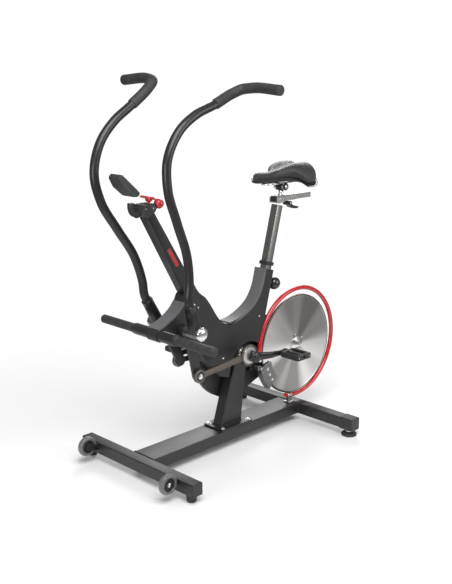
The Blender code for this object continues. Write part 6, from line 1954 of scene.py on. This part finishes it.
@dataclass
class Studio:
    """Pale floor, soft lamps, even background and the camera at the photograph's angle."""

    datum: float
    focal: float = 56.06
    eye: Place = (2.580, -2.139, 1.580)
    ahead: Place = (-0.6834, 0.6887, -0.2422)

    def floor(self) -> None:
        """A large plane under the bike, in the same white as the background."""
        mesh = bpy.data.meshes.new("studio_floor")
        span = 30.0
        mesh.from_pydata([(-span, -span, -0.0004), (span, -span, -0.0004), (span, span, -0.0004),
                          (-span, span, -0.0004)], [], [(0, 1, 2, 3)])
        item = bpy.data.objects.new("studio_floor", mesh)
        bpy.context.scene.collection.objects.link(item)
        board = Board("studio_floor", (0.86, 0.86, 0.86), 0.62, 0.0)
        where = board.place(stretch=(1.0, 1.0, 0.0))
        away = board.add("ShaderNodeVectorMath", {"operation": "LENGTH"}, {0: where},
                         output="Value")
        board.set("Alpha", board.ramp(away * 0.25, (0.20, 1.0), (0.52, 0.0)))
        mesh.materials.append(board.material)

    def lamp(self, name: str, place: Place, size: float, power: float, target: Place) -> None:
        """A square area lamp that faces a target."""
        data = bpy.data.lights.new(name, "AREA")
        data.shape = "SQUARE"
        data.size = size
        data.energy = power
        item = bpy.data.objects.new(name, data)
        item.location = place
        toward = Vector(target) - Vector(place)
        item.rotation_euler = toward.to_track_quat("-Z", "Y").to_euler()
        bpy.context.scene.collection.objects.link(item)

    def lamps(self) -> None:
        """A large key from above, a side fill, a low front card and a rim from behind."""
        middle = (0.0, 0.0, 0.7)
        self.lamp("key", (1.6, -1.4, 3.4), 2.6, 125.0, middle)
        self.lamp("fill", (3.4, 1.8, 1.9), 2.4, 55.0, middle)
        self.lamp("front_card", (0.9, -3.6, 1.0), 1.8, 38.0, middle)
        self.lamp("rim", (-2.2, 2.6, 2.6), 2.0, 70.0, middle)

    def world(self) -> None:
        """A white background that lights the bike less than it shows."""
        world = bpy.data.worlds.new("studio")
        world.use_nodes = True
        tree = world.node_tree
        shader = tree.nodes["Background"]
        shader.inputs["Color"].default_value = (1.0, 1.0, 1.0, 1.0)
        seen = tree.nodes.new("ShaderNodeLightPath")
        level = tree.nodes.new("ShaderNodeMapRange")
        level.inputs["To Min"].default_value = 0.34
        level.inputs["To Max"].default_value = 1.05
        tree.links.new(seen.outputs["Is Camera Ray"], level.inputs["Value"])
        tree.links.new(level.outputs["Result"], shader.inputs["Strength"])
        bpy.context.scene.world = world

    def camera(self) -> None:
        """The photograph's viewpoint and focal length."""
        data = bpy.data.cameras.new("camera")
        data.lens = self.focal
        data.sensor_fit = "VERTICAL"
        data.sensor_height = 36.0
        item = bpy.data.objects.new("camera", data)
        item.location = (self.eye[0], self.eye[1] + self.datum, self.eye[2])
        item.rotation_euler = Vector(self.ahead).to_track_quat("-Z", "Y").to_euler()
        bpy.context.scene.collection.objects.link(item)
        bpy.context.scene.camera = item

    def make(self) -> None:
        """Set the whole stage."""
        self.floor()
        self.lamps()
        self.world()
        self.camera()
        scene = bpy.context.scene
        scene.render.resolution_x, scene.render.resolution_y = 904, 1168
        scene.view_settings.view_transform = "Standard"


# ---------------------------------------------------------------- main


def main() -> None:
    """Load the frame, build every visual piece on it, and set the stage."""
    logging.basicConfig(level=logging.INFO, format="%(levelname)s %(message)s")
    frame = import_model()
    datum = float(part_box("base_frame")[0][1]) + 0.051
    log.info("datum %.4f", datum)
    shop = Shop(datum)
    Base(shop).make()
    StepThroughFrame(shop).make()
    for side, prefix in SIDES:
        Swing(shop, side, prefix).make()
    Link(shop, LEFT, "left", (0.2221, 0.3779), (0.5084, 0.4010)).make()
    Link(shop, RIGHT, "right", (0.2686, 0.3937), (0.5556, 0.3790)).make()
    Cranks(shop).make()
    Drive(shop, frame["nodes"]).make()
    Seat(shop).make()
    Cockpit(shop).make()
    log.info("%d pieces built", len(shop.made))
    Studio(datum).make()


if __name__ == "__main__":
    main()
